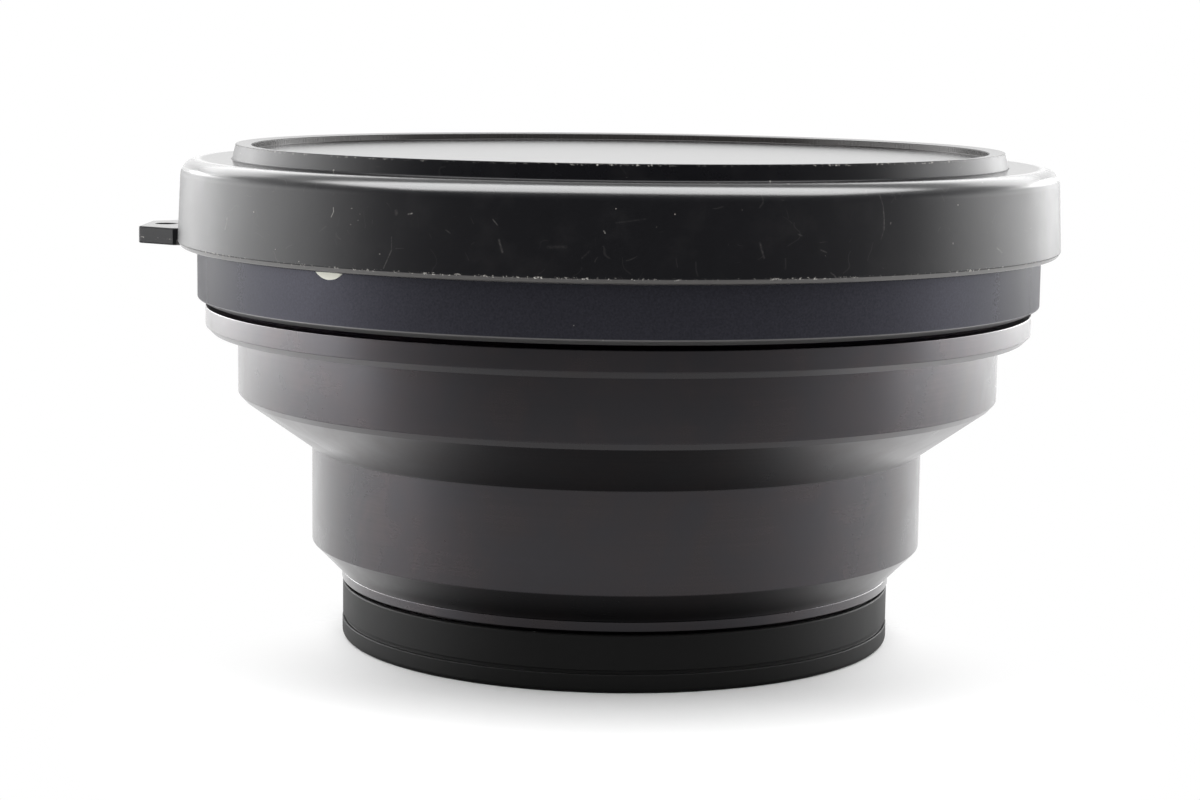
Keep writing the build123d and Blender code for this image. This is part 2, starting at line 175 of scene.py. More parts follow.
def rounded(corners):
    """Outline points of a closed half section, each with the outward normal before and after it.

    A corner is (radius, height) with a broken edge, or (radius, height, rounding).
    """
    least_bend, arc_step, fine_round = 0.01, math.radians(6), 0.3 * MM
    places = [Vector(c[:2]) for c in corners]
    area = sum(places[i - 1].cross(places[i]) for i in range(len(places)))
    if area < 0:
        corners, places = corners[::-1], places[::-1]
    outline = []
    for i, here in enumerate(places):
        before, after = places[i - 1] - here, places[(i + 1) % len(places)] - here
        back, ahead = before.normalized(), after.normalized()
        normal_in, normal_out = Vector((-back.y, back.x)), Vector((ahead.y, -ahead.x))
        bend = normal_in.angle(normal_out)
        if here.x < ON_AXIS or bend < least_bend:
            outline.append((here, normal_in, normal_out))
            continue
        half = back.angle(ahead) / 2
        rounding = corners[i][2] if len(corners[i]) == 3 else EDGE_BREAK
        reach = min(rounding / math.tan(half), 0.45 * before.length, 0.45 * after.length)
        rounding = reach * math.tan(half)
        middle = (back + ahead).normalized()
        centre = here + middle * rounding / math.sin(half)
        side = -1 if middle.dot(normal_in + normal_out) > 0 else 1
        steps = max(3, math.ceil(bend / arc_step)) if rounding > fine_round else 3
        for k in range(steps + 1):
            normal = normal_in.slerp(normal_out, k / steps)
            outline.append((centre + side * rounding * normal, normal, normal))
    return outline


class Shape:
    """The points, faces and shading normals of one piece, in metres."""

    def __init__(self):
        self.points = []
        self.faces = []
        self.normals = []

    def turn(self, corners, steps=256):
        """Turns a closed half section about Z."""
        outline = rounded(corners)
        angles = [2 * math.pi * j / steps for j in range(steps)]
        rings = []
        for place, _, _ in outline:
            first = len(self.points)
            if place.x < ON_AXIS:
                self.points.append((0, 0, place.y))
                rings.append([first] * steps)
                continue
            self.points += [(place.x * math.cos(a), place.x * math.sin(a), place.y) for a in angles]
            rings.append(list(range(first, first + steps)))
        for i, (place, _, start) in enumerate(outline):
            other = (i + 1) % len(outline)
            end = outline[other][1]
            if place.x < ON_AXIS and outline[other][0].x < ON_AXIS:
                continue
            for j in range(steps):
                k = (j + 1) % steps
                corners_here = [
                    (rings[i][j], start, j),
                    (rings[i][k], start, k),
                    (rings[other][k], end, k),
                    (rings[other][j], end, j),
                ]
                if place.x < ON_AXIS:
                    corners_here.pop(1)
                elif outline[other][0].x < ON_AXIS:
                    corners_here.pop(2)
                self.faces.append([c[0] for c in corners_here])
                self.normals += [
                    (n.x * math.cos(angles[s]), n.x * math.sin(angles[s]), n.y) for _, n, s in corners_here
                ]

    def add(self, solid, turn=0.0):
        """Adds a bmesh solid with flat faces, turned about Z."""
        spin = Matrix.Rotation(turn, 3, "Z")
        solid.normal_update()
        first = len(self.points)
        self.points += [tuple(spin @ v.co) for v in solid.verts]
        solid.verts.index_update()
        for face in solid.faces:
            self.faces.append([first + v.index for v in face.verts])
            self.normals += [tuple(spin @ face.normal)] * len(face.verts)

    def build(self, name, body, slot, material, *nodes):
        """Makes the object, which stands for the CAD nodes and rides on their body."""
        mesh = bpy.data.meshes.new(name)
        mesh.from_pydata(self.points, [], self.faces, shade_flat=False)
        mesh.normals_split_custom_set(self.normals)
        mesh.materials.append(material)
        piece = bpy.data.objects.new(name, mesh)
        bpy.context.scene.collection.objects.link(piece)
        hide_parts(*nodes)
        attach(piece, body)
        return piece


def bored(piece, cutters):
    """Cuts radial bores, each (angle, height, floor radius, radius), into a turned piece."""
    length = 20 * MM
    tool = bmesh.new()
    for angle, height, floor, radius in cutters:
        outward = Matrix.Rotation(angle, 4, "Z") @ Matrix.Translation((floor + length / 2, 0, height))
        bmesh.ops.create_cone(
            tool, cap_ends=True, segments=64, radius1=radius, radius2=radius, depth=length,
            matrix=outward @ Matrix.Rotation(math.pi / 2, 4, "Y"),
        )
    mesh = bpy.data.meshes.new("bores")
    tool.to_mesh(mesh)
    tool.free()
    cutter = bpy.data.objects.new("bores", mesh)
    bpy.context.scene.collection.objects.link(cutter)
    cut = piece.modifiers.new("bores", "BOOLEAN")
    cut.object = cutter
    cut.solver = "EXACT"
    evaluated = piece.evaluated_get(bpy.context.evaluated_depsgraph_get())
    piece.data = bpy.data.meshes.new_from_object(evaluated)
    piece.modifiers.remove(cut)
    bpy.data.objects.remove(cutter)
    # Turned faces get their smooth normals back, and the bores' own stay flat.
    most_twist = 0.03
    normals = []
    for face in piece.data.polygons:
        out = face.normal
        radial = Vector((face.center.x, face.center.y, 0)).normalized()
        turned = abs(out.cross(radial).z) < most_twist
        for v in face.vertices:
            place = piece.data.vertices[v].co
            away = Vector((place.x, place.y, 0)).normalized()
            normals.append(away * out.dot(radial) + Vector((0, 0, out.z)) if turned else out)
    piece.data.shade_smooth()
    piece.data.normals_split_custom_set(normals)


def flat_outline(points, low, high, hole=None, soft=EDGE_BREAK):
    """Plate between two heights from a flat outline, with a round hole and softened edges."""
    plate = bmesh.new()
    loops = [points]
    if hole:
        x, y, radius = hole
        turns = [a * math.pi / 16 for a in range(32)]
        loops.append([(x + radius * math.cos(a), y + radius * math.sin(a)) for a in turns])
    edges = []
    for loop in loops:
        corners = [plate.verts.new((x, y, low)) for x, y in loop]
        edges += [plate.edges.new((corners[i - 1], corners[i])) for i in range(len(corners))]
    bmesh.ops.triangle_fill(plate, use_beauty=True, edges=edges)
    bmesh.ops.dissolve_limit(plate, angle_limit=0.01, verts=plate.verts, edges=plate.edges)
    bottom = list(plate.faces)
    grown = bmesh.ops.extrude_face_region(plate, geom=bottom, use_keep_orig=True)
    top = [v for v in grown["geom"] if isinstance(v, bmesh.types.BMVert)]
    bmesh.ops.translate(plate, verts=top, vec=(0, 0, high - low))
    bmesh.ops.recalc_face_normals(plate, faces=plate.faces)
    plate.normal_update()
    sharp = 1.2
    rims = [e for e in plate.edges if len(e.link_faces) == 2 and e.calc_face_angle() > sharp]
    bmesh.ops.bevel(plate, geom=rims, offset=soft, segments=2, affect="EDGES", profile=0.5)
    return plate


def fill(tree, node, inputs):
    """Fills a node's inputs, by name or number, with values or with links from other nodes."""
    for key, value in inputs.items():
        if isinstance(key, int):
            socket = node.inputs[key]
        else:
            socket = next(s for s in node.inputs if s.name == key and s.enabled)
        if isinstance(value, bpy.types.Node):
            value = next(s for s in value.outputs if s.enabled)
        if isinstance(value, bpy.types.NodeSocket):
            tree.links.new(value, socket)
        elif socket.type == "RGBA" and len(value) == 3:
            socket.default_value = (*value, 1)
        else:
            socket.default_value = value


def add(tree, kind, inputs=None, **options):
    """Adds a node, sets its options, and fills its inputs with values or links."""
    node = tree.nodes.new(kind)
    for option, value in options.items():
        setattr(node, option, value)
    fill(tree, node, inputs or {})
    return node


def surface(name):
    """New material, its node tree and its Principled shader."""
    material = bpy.data.materials.new(name)
    material.use_nodes = True
    return material, material.node_tree, material.node_tree.nodes["Principled BSDF"]


def millimetres(tree):
    """The piece's own coordinates in millimetres."""
    where = add(tree, "ShaderNodeTexCoord").outputs["Object"]
    return add(tree, "ShaderNodeVectorMath", {0: where, "Scale": 1 / MM}, operation="SCALE")


def round_axis(tree, place, radius):
    """Unrolled place on a turned surface: distance round it at this radius, and height, in millimetres.

    Also returns the distance from the axis, and the height.
    """
    parts = add(tree, "ShaderNodeSeparateXYZ", {0: place})
    front = add(tree, "ShaderNodeMath", {0: parts.outputs["Y"], 1: -1.0}, operation="MULTIPLY")
    angle = add(tree, "ShaderNodeMath", {0: parts.outputs["X"], 1: front}, operation="ARCTAN2")
    along = add(tree, "ShaderNodeMath", {0: angle, 1: radius}, operation="MULTIPLY")
    level = add(tree, "ShaderNodeVectorMath", {0: place, 1: (1, 1, 0)}, operation="MULTIPLY")
    away = add(tree, "ShaderNodeVectorMath", {0: level}, operation="LENGTH")
    unrolled = add(tree, "ShaderNodeCombineXYZ", {"X": along, "Y": parts.outputs["Z"]})
    return unrolled, away.outputs["Value"], parts.outputs["Z"]


def between(tree, value, low, high, soft):
    """Mask of where a value lies between two limits, with soft edges."""
    rise = add(
        tree, "ShaderNodeMapRange", {"Value": value, "From Min": low - soft, "From Max": low},
        interpolation_type="SMOOTHSTEP",
    )
    fall = add(
        tree, "ShaderNodeMapRange", {"Value": value, "From Min": high + soft, "From Max": high},
        interpolation_type="SMOOTHSTEP",
    )
    return add(tree, "ShaderNodeMath", {0: rise, 1: fall}, operation="MULTIPLY")


def specks(tree, place, spacing, width, share):
    """Mask of round specks up to this width, in this share of the cells this far apart."""
    cells = add(tree, "ShaderNodeTexVoronoi", {"Vector": place, "Scale": 1 / spacing})
    chance = add(tree, "ShaderNodeSeparateColor", {0: cells.outputs["Color"]})
    reach = add(tree, "ShaderNodeMath", {0: chance.outputs[0], 1: width / spacing / 2}, operation="MULTIPLY")
    inside = add(tree, "ShaderNodeMath", {0: cells.outputs["Distance"], 1: reach}, operation="LESS_THAN")
    present = add(tree, "ShaderNodeMath", {0: chance.outputs[1], 1: share}, operation="LESS_THAN")
    return add(tree, "ShaderNodeMath", {0: inside, 1: present}, operation="MULTIPLY")


def hairlines(tree, place, spacing, length, width, share):
    """Mask of straight hairline scratches of random direction, one in this share of the cells."""
    cells = add(tree, "ShaderNodeTexVoronoi", {"Vector": place, "Scale": 1 / spacing})
    chance = add(tree, "ShaderNodeSeparateColor", {0: cells.outputs["Color"]})
    middle = cells.outputs["Position"]
    from_middle = add(tree, "ShaderNodeVectorMath", {0: place, 1: middle}, operation="SUBTRACT")
    half = (0.5, 0.5, 0.5)
    centred = add(tree, "ShaderNodeVectorMath", {0: cells.outputs["Color"], 1: half}, operation="SUBTRACT")
    across = add(tree, "ShaderNodeVectorMath", {0: centred}, operation="NORMALIZE")
    offset = add(tree, "ShaderNodeVectorMath", {0: from_middle, 1: across}, operation="DOT_PRODUCT")
    near = add(tree, "ShaderNodeMath", {0: offset.outputs["Value"]}, operation="ABSOLUTE")
    thin = add(tree, "ShaderNodeMath", {0: near, 1: width / 2}, operation="LESS_THAN")
    longest = length / spacing / 2
    reach = add(tree, "ShaderNodeMath", {0: chance.outputs[2], 1: longest}, operation="MULTIPLY")
    short = add(tree, "ShaderNodeMath", {0: cells.outputs["Distance"], 1: reach}, operation="LESS_THAN")
    present = add(tree, "ShaderNodeMath", {0: chance.outputs[1], 1: share}, operation="LESS_THAN")
    line = add(tree, "ShaderNodeMath", {0: thin, 1: short}, operation="MULTIPLY")
    return add(tree, "ShaderNodeMath", {0: line, 1: present}, operation="MULTIPLY")


def mark_group():
    """Node group that masks one short straight mark on an unrolled surface."""
    group = bpy.data.node_groups.new("single mark", "ShaderNodeTree")
    inputs = {"Place": "Vector", "Start": "Vector", "End": "Vector", "Width": "Float", "Strength": "Float"}
    for name, kind in inputs.items():
        group.interface.new_socket(name, in_out="INPUT", socket_type="NodeSocket" + kind)
    group.interface.new_socket("Mask", in_out="OUTPUT", socket_type="NodeSocketFloat")
    given = add(group, "NodeGroupInput").outputs
    start = given["Start"]
    along = add(group, "ShaderNodeVectorMath", {0: given["End"], 1: start}, operation="SUBTRACT")
    to_place = add(group, "ShaderNodeVectorMath", {0: given["Place"], 1: start}, operation="SUBTRACT")
    dot = add(group, "ShaderNodeVectorMath", {0: to_place, 1: along}, operation="DOT_PRODUCT")
    square = add(group, "ShaderNodeVectorMath", {0: along, 1: along}, operation="DOT_PRODUCT")
    share = add(
        group, "ShaderNodeMath", {0: dot.outputs["Value"], 1: square.outputs["Value"]},
        operation="DIVIDE", use_clamp=True,
    )
    foot = add(group, "ShaderNodeVectorMath", {0: along, "Scale": share}, operation="SCALE")
    gap = add(group, "ShaderNodeVectorMath", {0: to_place, 1: foot}, operation="DISTANCE")
    mask = add(
        group, "ShaderNodeMapRange",
        {
            "Value": gap.outputs["Value"],
            "From Min": given["Width"],
            "From Max": 0.0,
            "To Max": given["Strength"],
        },
        interpolation_type="SMOOTHSTEP",
    )
    add(group, "NodeGroupOutput", {0: mask})
    return group


# Radius at which distances round the front cap are measured, in millimetres.
CAP_UNROLLED_AT = 47.0

# The front cap's own marks: (distance round, height), both ends in millimetres, width and strength.
CAP_MARKS = [
    ((-28.57, 48.34), (-28.52, 47.97), 0.07, 0.64),
    ((-28.52, 47.97), (-28.8, 47.45), 0.07, 0.64),
    ((-20.06, 48.09), (-19.66, 48.18), 0.09, 0.68),
    ((-21.34, 48.3), (-21.34, 48.1), 0.26, 0.1),
    ((-45.02, 46.46), (-45.36, 45.36), 0.14, 0.38),
    ((-21.78, 45.93), (-21.74, 44.73), 0.06, 0.09),
    ((-21.74, 44.73), (-22.55, 43.03), 0.08, 0.14),
    ((-26.4, 48.36), (-26.3, 48.36), 0.06, 0.45),
    ((-26.45, 46.88), (-26.4, 46.86), 0.06, 0.45),
    ((-25.58, 47.29), (-25.55, 47.29), 0.06, 0.49),
    ((-23.05, 44.3), (-23.0, 44.3), 0.07, 0.6),
    ((-16.17, 46.79), (-15.77, 46.53), 0.09, 0.12),
    ((-11.62, 47.88), (-11.18, 47.41), 0.09, 0.14),
    ((-11.01, 46.05), (-10.67, 44.98), 0.15, 0.1),
    ((-6.44, 45.54), (-4.79, 45.58), 0.22, 0.03),
    ((-1.36, 47.08), (-1.26, 46.9), 0.1, 0.41),
    ((-3.32, 44.62), (-2.6, 45.26), 0.11, 0.04),
    ((-0.28, 47.82), (2.43, 48.21), 0.09, 0.03),
    ((13.03, 46.05), (13.43, 44.69), 0.15, 0.07),
    ((5.13, 42.64), (5.68, 42.75), 0.09, 0.52),
    ((25.53, 50.35), (25.88, 49.24), 0.08, 0.1),
    ((25.88, 49.24), (26.01, 48.12), 0.08, 0.17),
    ((26.01, 48.12), (25.98, 47.01), 0.08, 0.19),
    ((25.98, 47.01), (25.63, 46.19), 0.08, 0.07),
    ((26.8, 47.7), (26.76, 47.55), 0.06, 0.45),
    ((35.58, 49.07), (35.68, 49.07), 0.09, 0.6),
    ((34.86, 45.5), (34.86, 45.42), 0.09, 0.6),
    ((42.03, 44.68), (42.98, 44.21), 0.15, 0.15),
    ((16.76, 46.83), (17.16, 46.64), 0.1, 0.09),
    ((19.1, 45.33), (19.66, 45.1), 0.09, 0.12),
    ((20.14, 43.2), (20.56, 42.92), 0.09, 0.12),
]


def cap_dust(tree, place, height, away, chamfer, ledge, cloud, look):
    """How grey dust and rubbing make each place of the front cap."""
    ledge_z = (CAP_HIGH.z - look.ledge_drop) / MM
    disc_z = (CAP_HIGH.z - look.recess) / MM
    rim_inner = (look.shoulder - look.ledge - look.rim_taper - look.rim_width) / MM
    # A thin film lies where a hand seldom wipes, most of all on the ledge.
    film = add(
        tree, "ShaderNodeMapRange", {"Value": cloud, "From Min": 0.5, "From Max": 0.75, "To Max": 0.008}
    )
    filmed = add(tree, "ShaderNodeMath", {0: ledge, 1: 0.03, 2: film}, operation="MULTIPLY_ADD")
    # The chamfer at the mouth is rubbed grey where it slides over the ring.
    slid = add(tree, "ShaderNodeMath", {0: chamfer, 1: 0.08, 2: filmed}, operation="MULTIPLY_ADD")
    # Dust has caught on the rim's inner wall, where a cloth doesn't reach.
    wall = between(tree, away, rim_inner - 0.15, rim_inner + 0.3, 0.05)
    low = between(tree, height, disc_z - 0.59, disc_z + 0.63, 0.05)
    caught = add(tree, "ShaderNodeMath", {0: wall, 1: low}, operation="MULTIPLY")
    grey = add(tree, "ShaderNodeMath", {0: caught, 1: 0.07, 2: slid}, operation="MULTIPLY_ADD")
    # Lint and grit lie along the foot of the rim's wall.
    foot = between(tree, height, ledge_z - 0.09, ledge_z + 0.23, 0.05)
    lint = specks(tree, place, 1.3, 0.3, 0.4)
    at_foot = add(tree, "ShaderNodeMath", {0: foot, 1: lint}, operation="MULTIPLY")
    return grey, add(tree, "ShaderNodeMath", {0: at_foot, 1: 0.55}, operation="MULTIPLY")


def cap_scuffs(tree, place):
    """Mask of the fine scratches all over the front cap.

    They are 0.05 mm wide in life, and the longer ones are drawn wider so that they show.
    """
    bent = add(tree, "ShaderNodeTexNoise", {"Vector": place, "Scale": 0.35, "Detail": 1.0})
    waved = add(
        tree, "ShaderNodeVectorMath", {0: bent.outputs["Color"], 1: (2.5, 2.5, 2.5), 2: place},
        operation="MULTIPLY_ADD",
    )
    scratch = hairlines(tree, waved, 3.1, 3.4, 0.07, 0.45)
    faint = add(tree, "ShaderNodeMath", {0: scratch, 1: 0.02}, operation="MULTIPLY")
    # Patches that were handled most have more short ones.
    handled = add(
        tree, "ShaderNodeMapRange", {"Value": bent, "From Min": 0.48, "From Max": 0.6, "To Max": 0.035}
    )
    short = hairlines(tree, waved, 1.4, 1.7, 0.05, 0.55)
    fretted = add(tree, "ShaderNodeMath", {0: short, 1: handled}, operation="MULTIPLY")
    return add(tree, "ShaderNodeMath", {0: faint, 1: fretted}, operation="MAXIMUM")


def cap_nicks(tree, unrolled, height, away, look):
    """Mask of the nicks on the mouth's edge and on the rim's top edges."""
    mouth_z, rim_z = CAP_LOW.z / MM, CAP_HIGH.z / MM
    rim_outer = (look.shoulder - look.ledge - look.rim_taper) / MM
    chipped = add(
        tree, "ShaderNodeTexNoise", {"Vector": unrolled, "Scale": 2.4, "Detail": 4.0, "Roughness": 0.7}
    )
    chips = add(tree, "ShaderNodeMapRange", {"Value": chipped, "From Min": 0.555, "From Max": 0.63})
    patches = add(tree, "ShaderNodeTexNoise", {"Vector": unrolled, "Scale": 0.09, "Detail": 1.0})
    patch = add(
        tree, "ShaderNodeMapRange", {"Value": patches, "From Min": 0.42, "From Max": 0.58, "To Min": 0.15}
    )
    mouth = between(tree, height, mouth_z + 0.54, mouth_z + 0.69, 0.06)
    rim_top = between(tree, height, rim_z - 0.19, rim_z + 0.06, 0.04)
    rim_edge = between(tree, away, rim_outer - 0.1, rim_outer + 0.1, 0.05)
    rim = add(tree, "ShaderNodeMath", {0: rim_top, 1: rim_edge}, operation="MULTIPLY")
    edges = add(tree, "ShaderNodeMath", {0: mouth, 1: rim}, operation="MAXIMUM")
    nicks = add(tree, "ShaderNodeMath", {0: edges, 1: chips}, operation="MULTIPLY")
    return add(tree, "ShaderNodeMath", {0: nicks, 1: patch}, operation="MULTIPLY")


def cap_marks(tree, unrolled):
    """Mask of the front cap's own marks. A scratch skips over the grain, so it is broken into dashes."""
    marks = 0.0
    group = mark_group()
    for start, end, width, strength in CAP_MARKS:
        one = add(
            tree, "ShaderNodeGroup",
            {
                "Place": unrolled,
                "Start": (*start, 0),
                "End": (*end, 0),
                "Width": width,
                "Strength": strength,
            },
            node_tree=group,
        )
        marks = add(tree, "ShaderNodeMath", {0: marks, 1: one}, operation="MAXIMUM")
    skips = add(
        tree, "ShaderNodeTexNoise", {"Vector": unrolled, "Scale": 4.5, "Detail": 3.0, "Roughness": 0.7}
    )
    skipped = add(
        tree, "ShaderNodeMapRange", {"Value": skips, "From Min": 0.4, "From Max": 0.6, "To Min": 0.2}
    )
    return add(tree, "ShaderNodeMath", {0: marks, 1: skipped}, operation="MULTIPLY")


def moulded_cap_plastic(look):
    """Satin black ABS from a fine spark-eroded mould, with the gloss of a polished insert on its disc.

    The mould's grain breaks up the highlight. Handling has left it dusty, with grey hairlines and
    whitened nicks on its sharp edges.
    """
    material, tree, shader = surface("satin moulded ABS")
    place = millimetres(tree)
    unrolled, away, height = round_axis(tree, place, CAP_UNROLLED_AT)
    facing = add(tree, "ShaderNodeSeparateXYZ", {0: add(tree, "ShaderNodeTexCoord").outputs["Normal"]})
    cloud = add(
        tree, "ShaderNodeTexNoise", {"Vector": place, "Scale": 0.22, "Detail": 5.0, "Roughness": 0.65}
    )
    mouth_z = CAP_LOW.z / MM
    rim_z = CAP_HIGH.z / MM
    ledge_z = (CAP_HIGH.z - look.ledge_drop) / MM
    disc_z = (CAP_HIGH.z - look.recess) / MM
    rim_outer = (look.shoulder - look.ledge - look.rim_taper) / MM
    rim_inner = rim_outer - look.rim_width / MM

    # The disc inside the rim comes from a polished part of the mould, and so do faces that look up.
    inside = between(tree, away, -BEYOND, rim_inner - 0.05, 0.1)
    above = between(tree, height, disc_z - 0.19, BEYOND, 0.1)
    disc = add(tree, "ShaderNodeMath", {0: inside, 1: above}, operation="MULTIPLY")
    upward = add(
        tree, "ShaderNodeMapRange", {"Value": facing.outputs["Z"], "From Min": 0.96, "From Max": 1.0}
    )
    flat = add(tree, "ShaderNodeMath", {0: disc, 1: upward}, operation="MAXIMUM")
    not_disc = add(tree, "ShaderNodeMath", {0: 1.0, 1: disc}, operation="SUBTRACT")
    ledge = add(tree, "ShaderNodeMath", {0: upward, 1: not_disc}, operation="MULTIPLY")
    at_mouth = between(tree, height, mouth_z - 0.04, mouth_z + 0.54, 0.06)
    on_skirt = between(tree, away, -BEYOND, look.mouth / MM + 0.09, 0.05)
    chamfer = add(tree, "ShaderNodeMath", {0: at_mouth, 1: on_skirt}, operation="MULTIPLY")

    # The rim's outer wall is wiped smooth at the front, where a hand pulls the cap off.
    wall_height = between(tree, height, ledge_z + 0.06, rim_z - 0.14, 0.05)
    wall_place = between(tree, away, rim_outer - 0.1, rim_outer + 0.5, 0.1)
    rim_wall = add(tree, "ShaderNodeMath", {0: wall_height, 1: wall_place}, operation="MULTIPLY")
    pulled = add(
        tree, "ShaderNodeMapRange",
        {"Value": facing.outputs["Y"], "From Min": -0.6, "From Max": -0.9, "To Max": 0.5},
    )
    wiped = add(tree, "ShaderNodeMath", {0: rim_wall, 1: pulled}, operation="MULTIPLY")
    polished = add(tree, "ShaderNodeMath", {0: flat, 1: wiped}, operation="MAXIMUM")

    # Dust: grains of 0.1 to 0.3 mm over a thin film.
    grey, lint = cap_dust(tree, place, height, away, chamfer, ledge, cloud, look)
    fine = specks(tree, place, 1.3, 0.16, 0.3)
    coarse = specks(tree, place, 5.0, 0.34, 0.22)
    grains = add(tree, "ShaderNodeMath", {0: fine, 1: coarse}, operation="MAXIMUM")
    grain_strength = add(tree, "ShaderNodeMath", {0: grains, 1: 0.35}, operation="MULTIPLY")

    nicks = cap_nicks(tree, unrolled, height, away, look)
    specked = add(tree, "ShaderNodeMath", {0: nicks, 1: lint}, operation="MAXIMUM")
    marks = add(tree, "ShaderNodeMath", {0: cap_marks(tree, unrolled), 1: specked}, operation="MAXIMUM")
    worn = add(tree, "ShaderNodeMath", {0: marks, 1: cap_scuffs(tree, place)}, operation="MAXIMUM")

    shaded = tuple(0.8 * c for c in look.plastic)
    tone = add(tree, "ShaderNodeMix", {0: cloud, "A": shaded, "B": look.plastic}, data_type="RGBA")
    greyed = add(tree, "ShaderNodeMix", {0: grey, "A": tone, "B": look.dust}, data_type="RGBA")
    dusty = add(tree, "ShaderNodeMix", {0: grain_strength, "A": greyed, "B": look.dust}, data_type="RGBA")
    base = add(tree, "ShaderNodeMix", {0: worn, "A": dusty, "B": look.wear}, data_type="RGBA")

    satin = add(tree, "ShaderNodeMapRange", {"Value": cloud, "To Min": 0.36, "To Max": 0.44})
    gloss = add(tree, "ShaderNodeMix", {0: polished, 2: satin, 3: 0.15})
    rough = add(
        tree, "ShaderNodeMath", {0: worn, 1: 0.4, 2: gloss}, operation="MULTIPLY_ADD", use_clamp=True
    )

    # The mould's grain is about 0.06 mm, drawn at 0.18 mm so that it shows.
    grain = add(tree, "ShaderNodeTexNoise", {"Vector": place, "Scale": 1 / 0.18, "Detail": 2.0})
    grained = add(tree, "ShaderNodeMath", {0: 1.0, 1: polished}, operation="SUBTRACT")
    depth = add(tree, "ShaderNodeMath", {0: grain, 1: grained}, operation="MULTIPLY")
    bump = add(tree, "ShaderNodeBump", {"Strength": 0.25, "Distance": 0.01 * MM, "Height": depth})

    # Hands have rubbed the shoulder, and the ring the mouth, to a harder gloss than the rest.
    shoulder = between(tree, height, ledge_z - 0.89, ledge_z + 0.21, 0.4)
    outer = between(tree, away, look.shoulder / MM - 1.7, BEYOND, 0.6)
    rubbed = add(tree, "ShaderNodeMath", {0: shoulder, 1: outer}, operation="MULTIPLY")
    handled_edges = add(tree, "ShaderNodeMath", {0: rubbed, 1: chamfer}, operation="MAXIMUM")
    fill(tree, shader, {
        "Base Color": base,
        "Roughness": rough,
        "Normal": bump,
        "IOR": 1.31,
        "Coat Weight": handled_edges,
        "Coat IOR": 1.7,
        "Coat Roughness": 0.22,
    })
    return material


def blasted_anodised_aluminium(look):
    """Aluminium, bead blasted and then black anodised.

    The blasting leaves fine pits that spread the light evenly, and the thick black oxide on them
    looks cool and slightly blue.
    """
    material, tree, shader = surface("blasted black anodised aluminium")
    place = millimetres(tree)
    low, radius = RING_LOW.z / MM, look.radius / MM
    _, away, height = round_axis(tree, place, radius)
    # Pits of 0.08 mm, drawn at 0.2 mm so that they show.
    pits = add(
        tree, "ShaderNodeTexNoise", {"Vector": place, "Scale": 1 / 0.2, "Detail": 3.0, "Roughness": 0.6}
    )
    cloud = add(tree, "ShaderNodeTexNoise", {"Vector": place, "Scale": 0.15, "Detail": 4.0})
    spread = add(
        tree, "ShaderNodeMapRange",
        {"Value": pits, "From Min": 0.3, "From Max": 0.7, "To Min": 0.8, "To Max": 1.25},
    )
    tint = add(tree, "ShaderNodeVectorMath", {0: look.anodise, "Scale": spread}, operation="SCALE")
    # The foot's chamfer is rubbed a little grey, and grit sticks to it.
    at_foot = between(tree, height, low - 0.1, low + 0.55, 0.1)
    outer = between(tree, away, radius - 0.85, BEYOND, 0.05)
    foot = add(tree, "ShaderNodeMath", {0: at_foot, 1: outer}, operation="MULTIPLY")
    grit = specks(tree, place, 1.0, 0.2, 0.35)
    on_foot = add(tree, "ShaderNodeMath", {0: foot, 1: grit}, operation="MULTIPLY")
    loose = specks(tree, place, 3.5, 0.22, 0.25)
    dusty = add(tree, "ShaderNodeMath", {0: on_foot, 1: loose}, operation="MAXIMUM")
    strength = add(tree, "ShaderNodeMath", {0: dusty, 1: 0.3}, operation="MULTIPLY")
    rubbed = add(tree, "ShaderNodeMath", {0: foot, 1: 0.28, 2: strength}, operation="MULTIPLY_ADD")
    base = add(tree, "ShaderNodeMix", {0: rubbed, "A": tint, "B": linear("#B4B2AE")}, data_type="RGBA")
    rough = add(tree, "ShaderNodeMapRange", {"Value": cloud, "To Min": 0.4, "To Max": 0.5})
    bump = add(tree, "ShaderNodeBump", {"Strength": 0.3, "Distance": 0.01 * MM, "Height": pits})
    # The dyed oxide is thick and hides about a third of the metal.
    fill(tree, shader, {
        "Base Color": base,
        "Roughness": rough,
        "Normal": bump,
        "Metallic": 0.7,
        "Specular Tint": (0.2, 0.2, 0.23),
        "Coat Weight": 0.3,
        "Coat IOR": 1.3,
        "Coat Roughness": 0.4,
    })
    return material


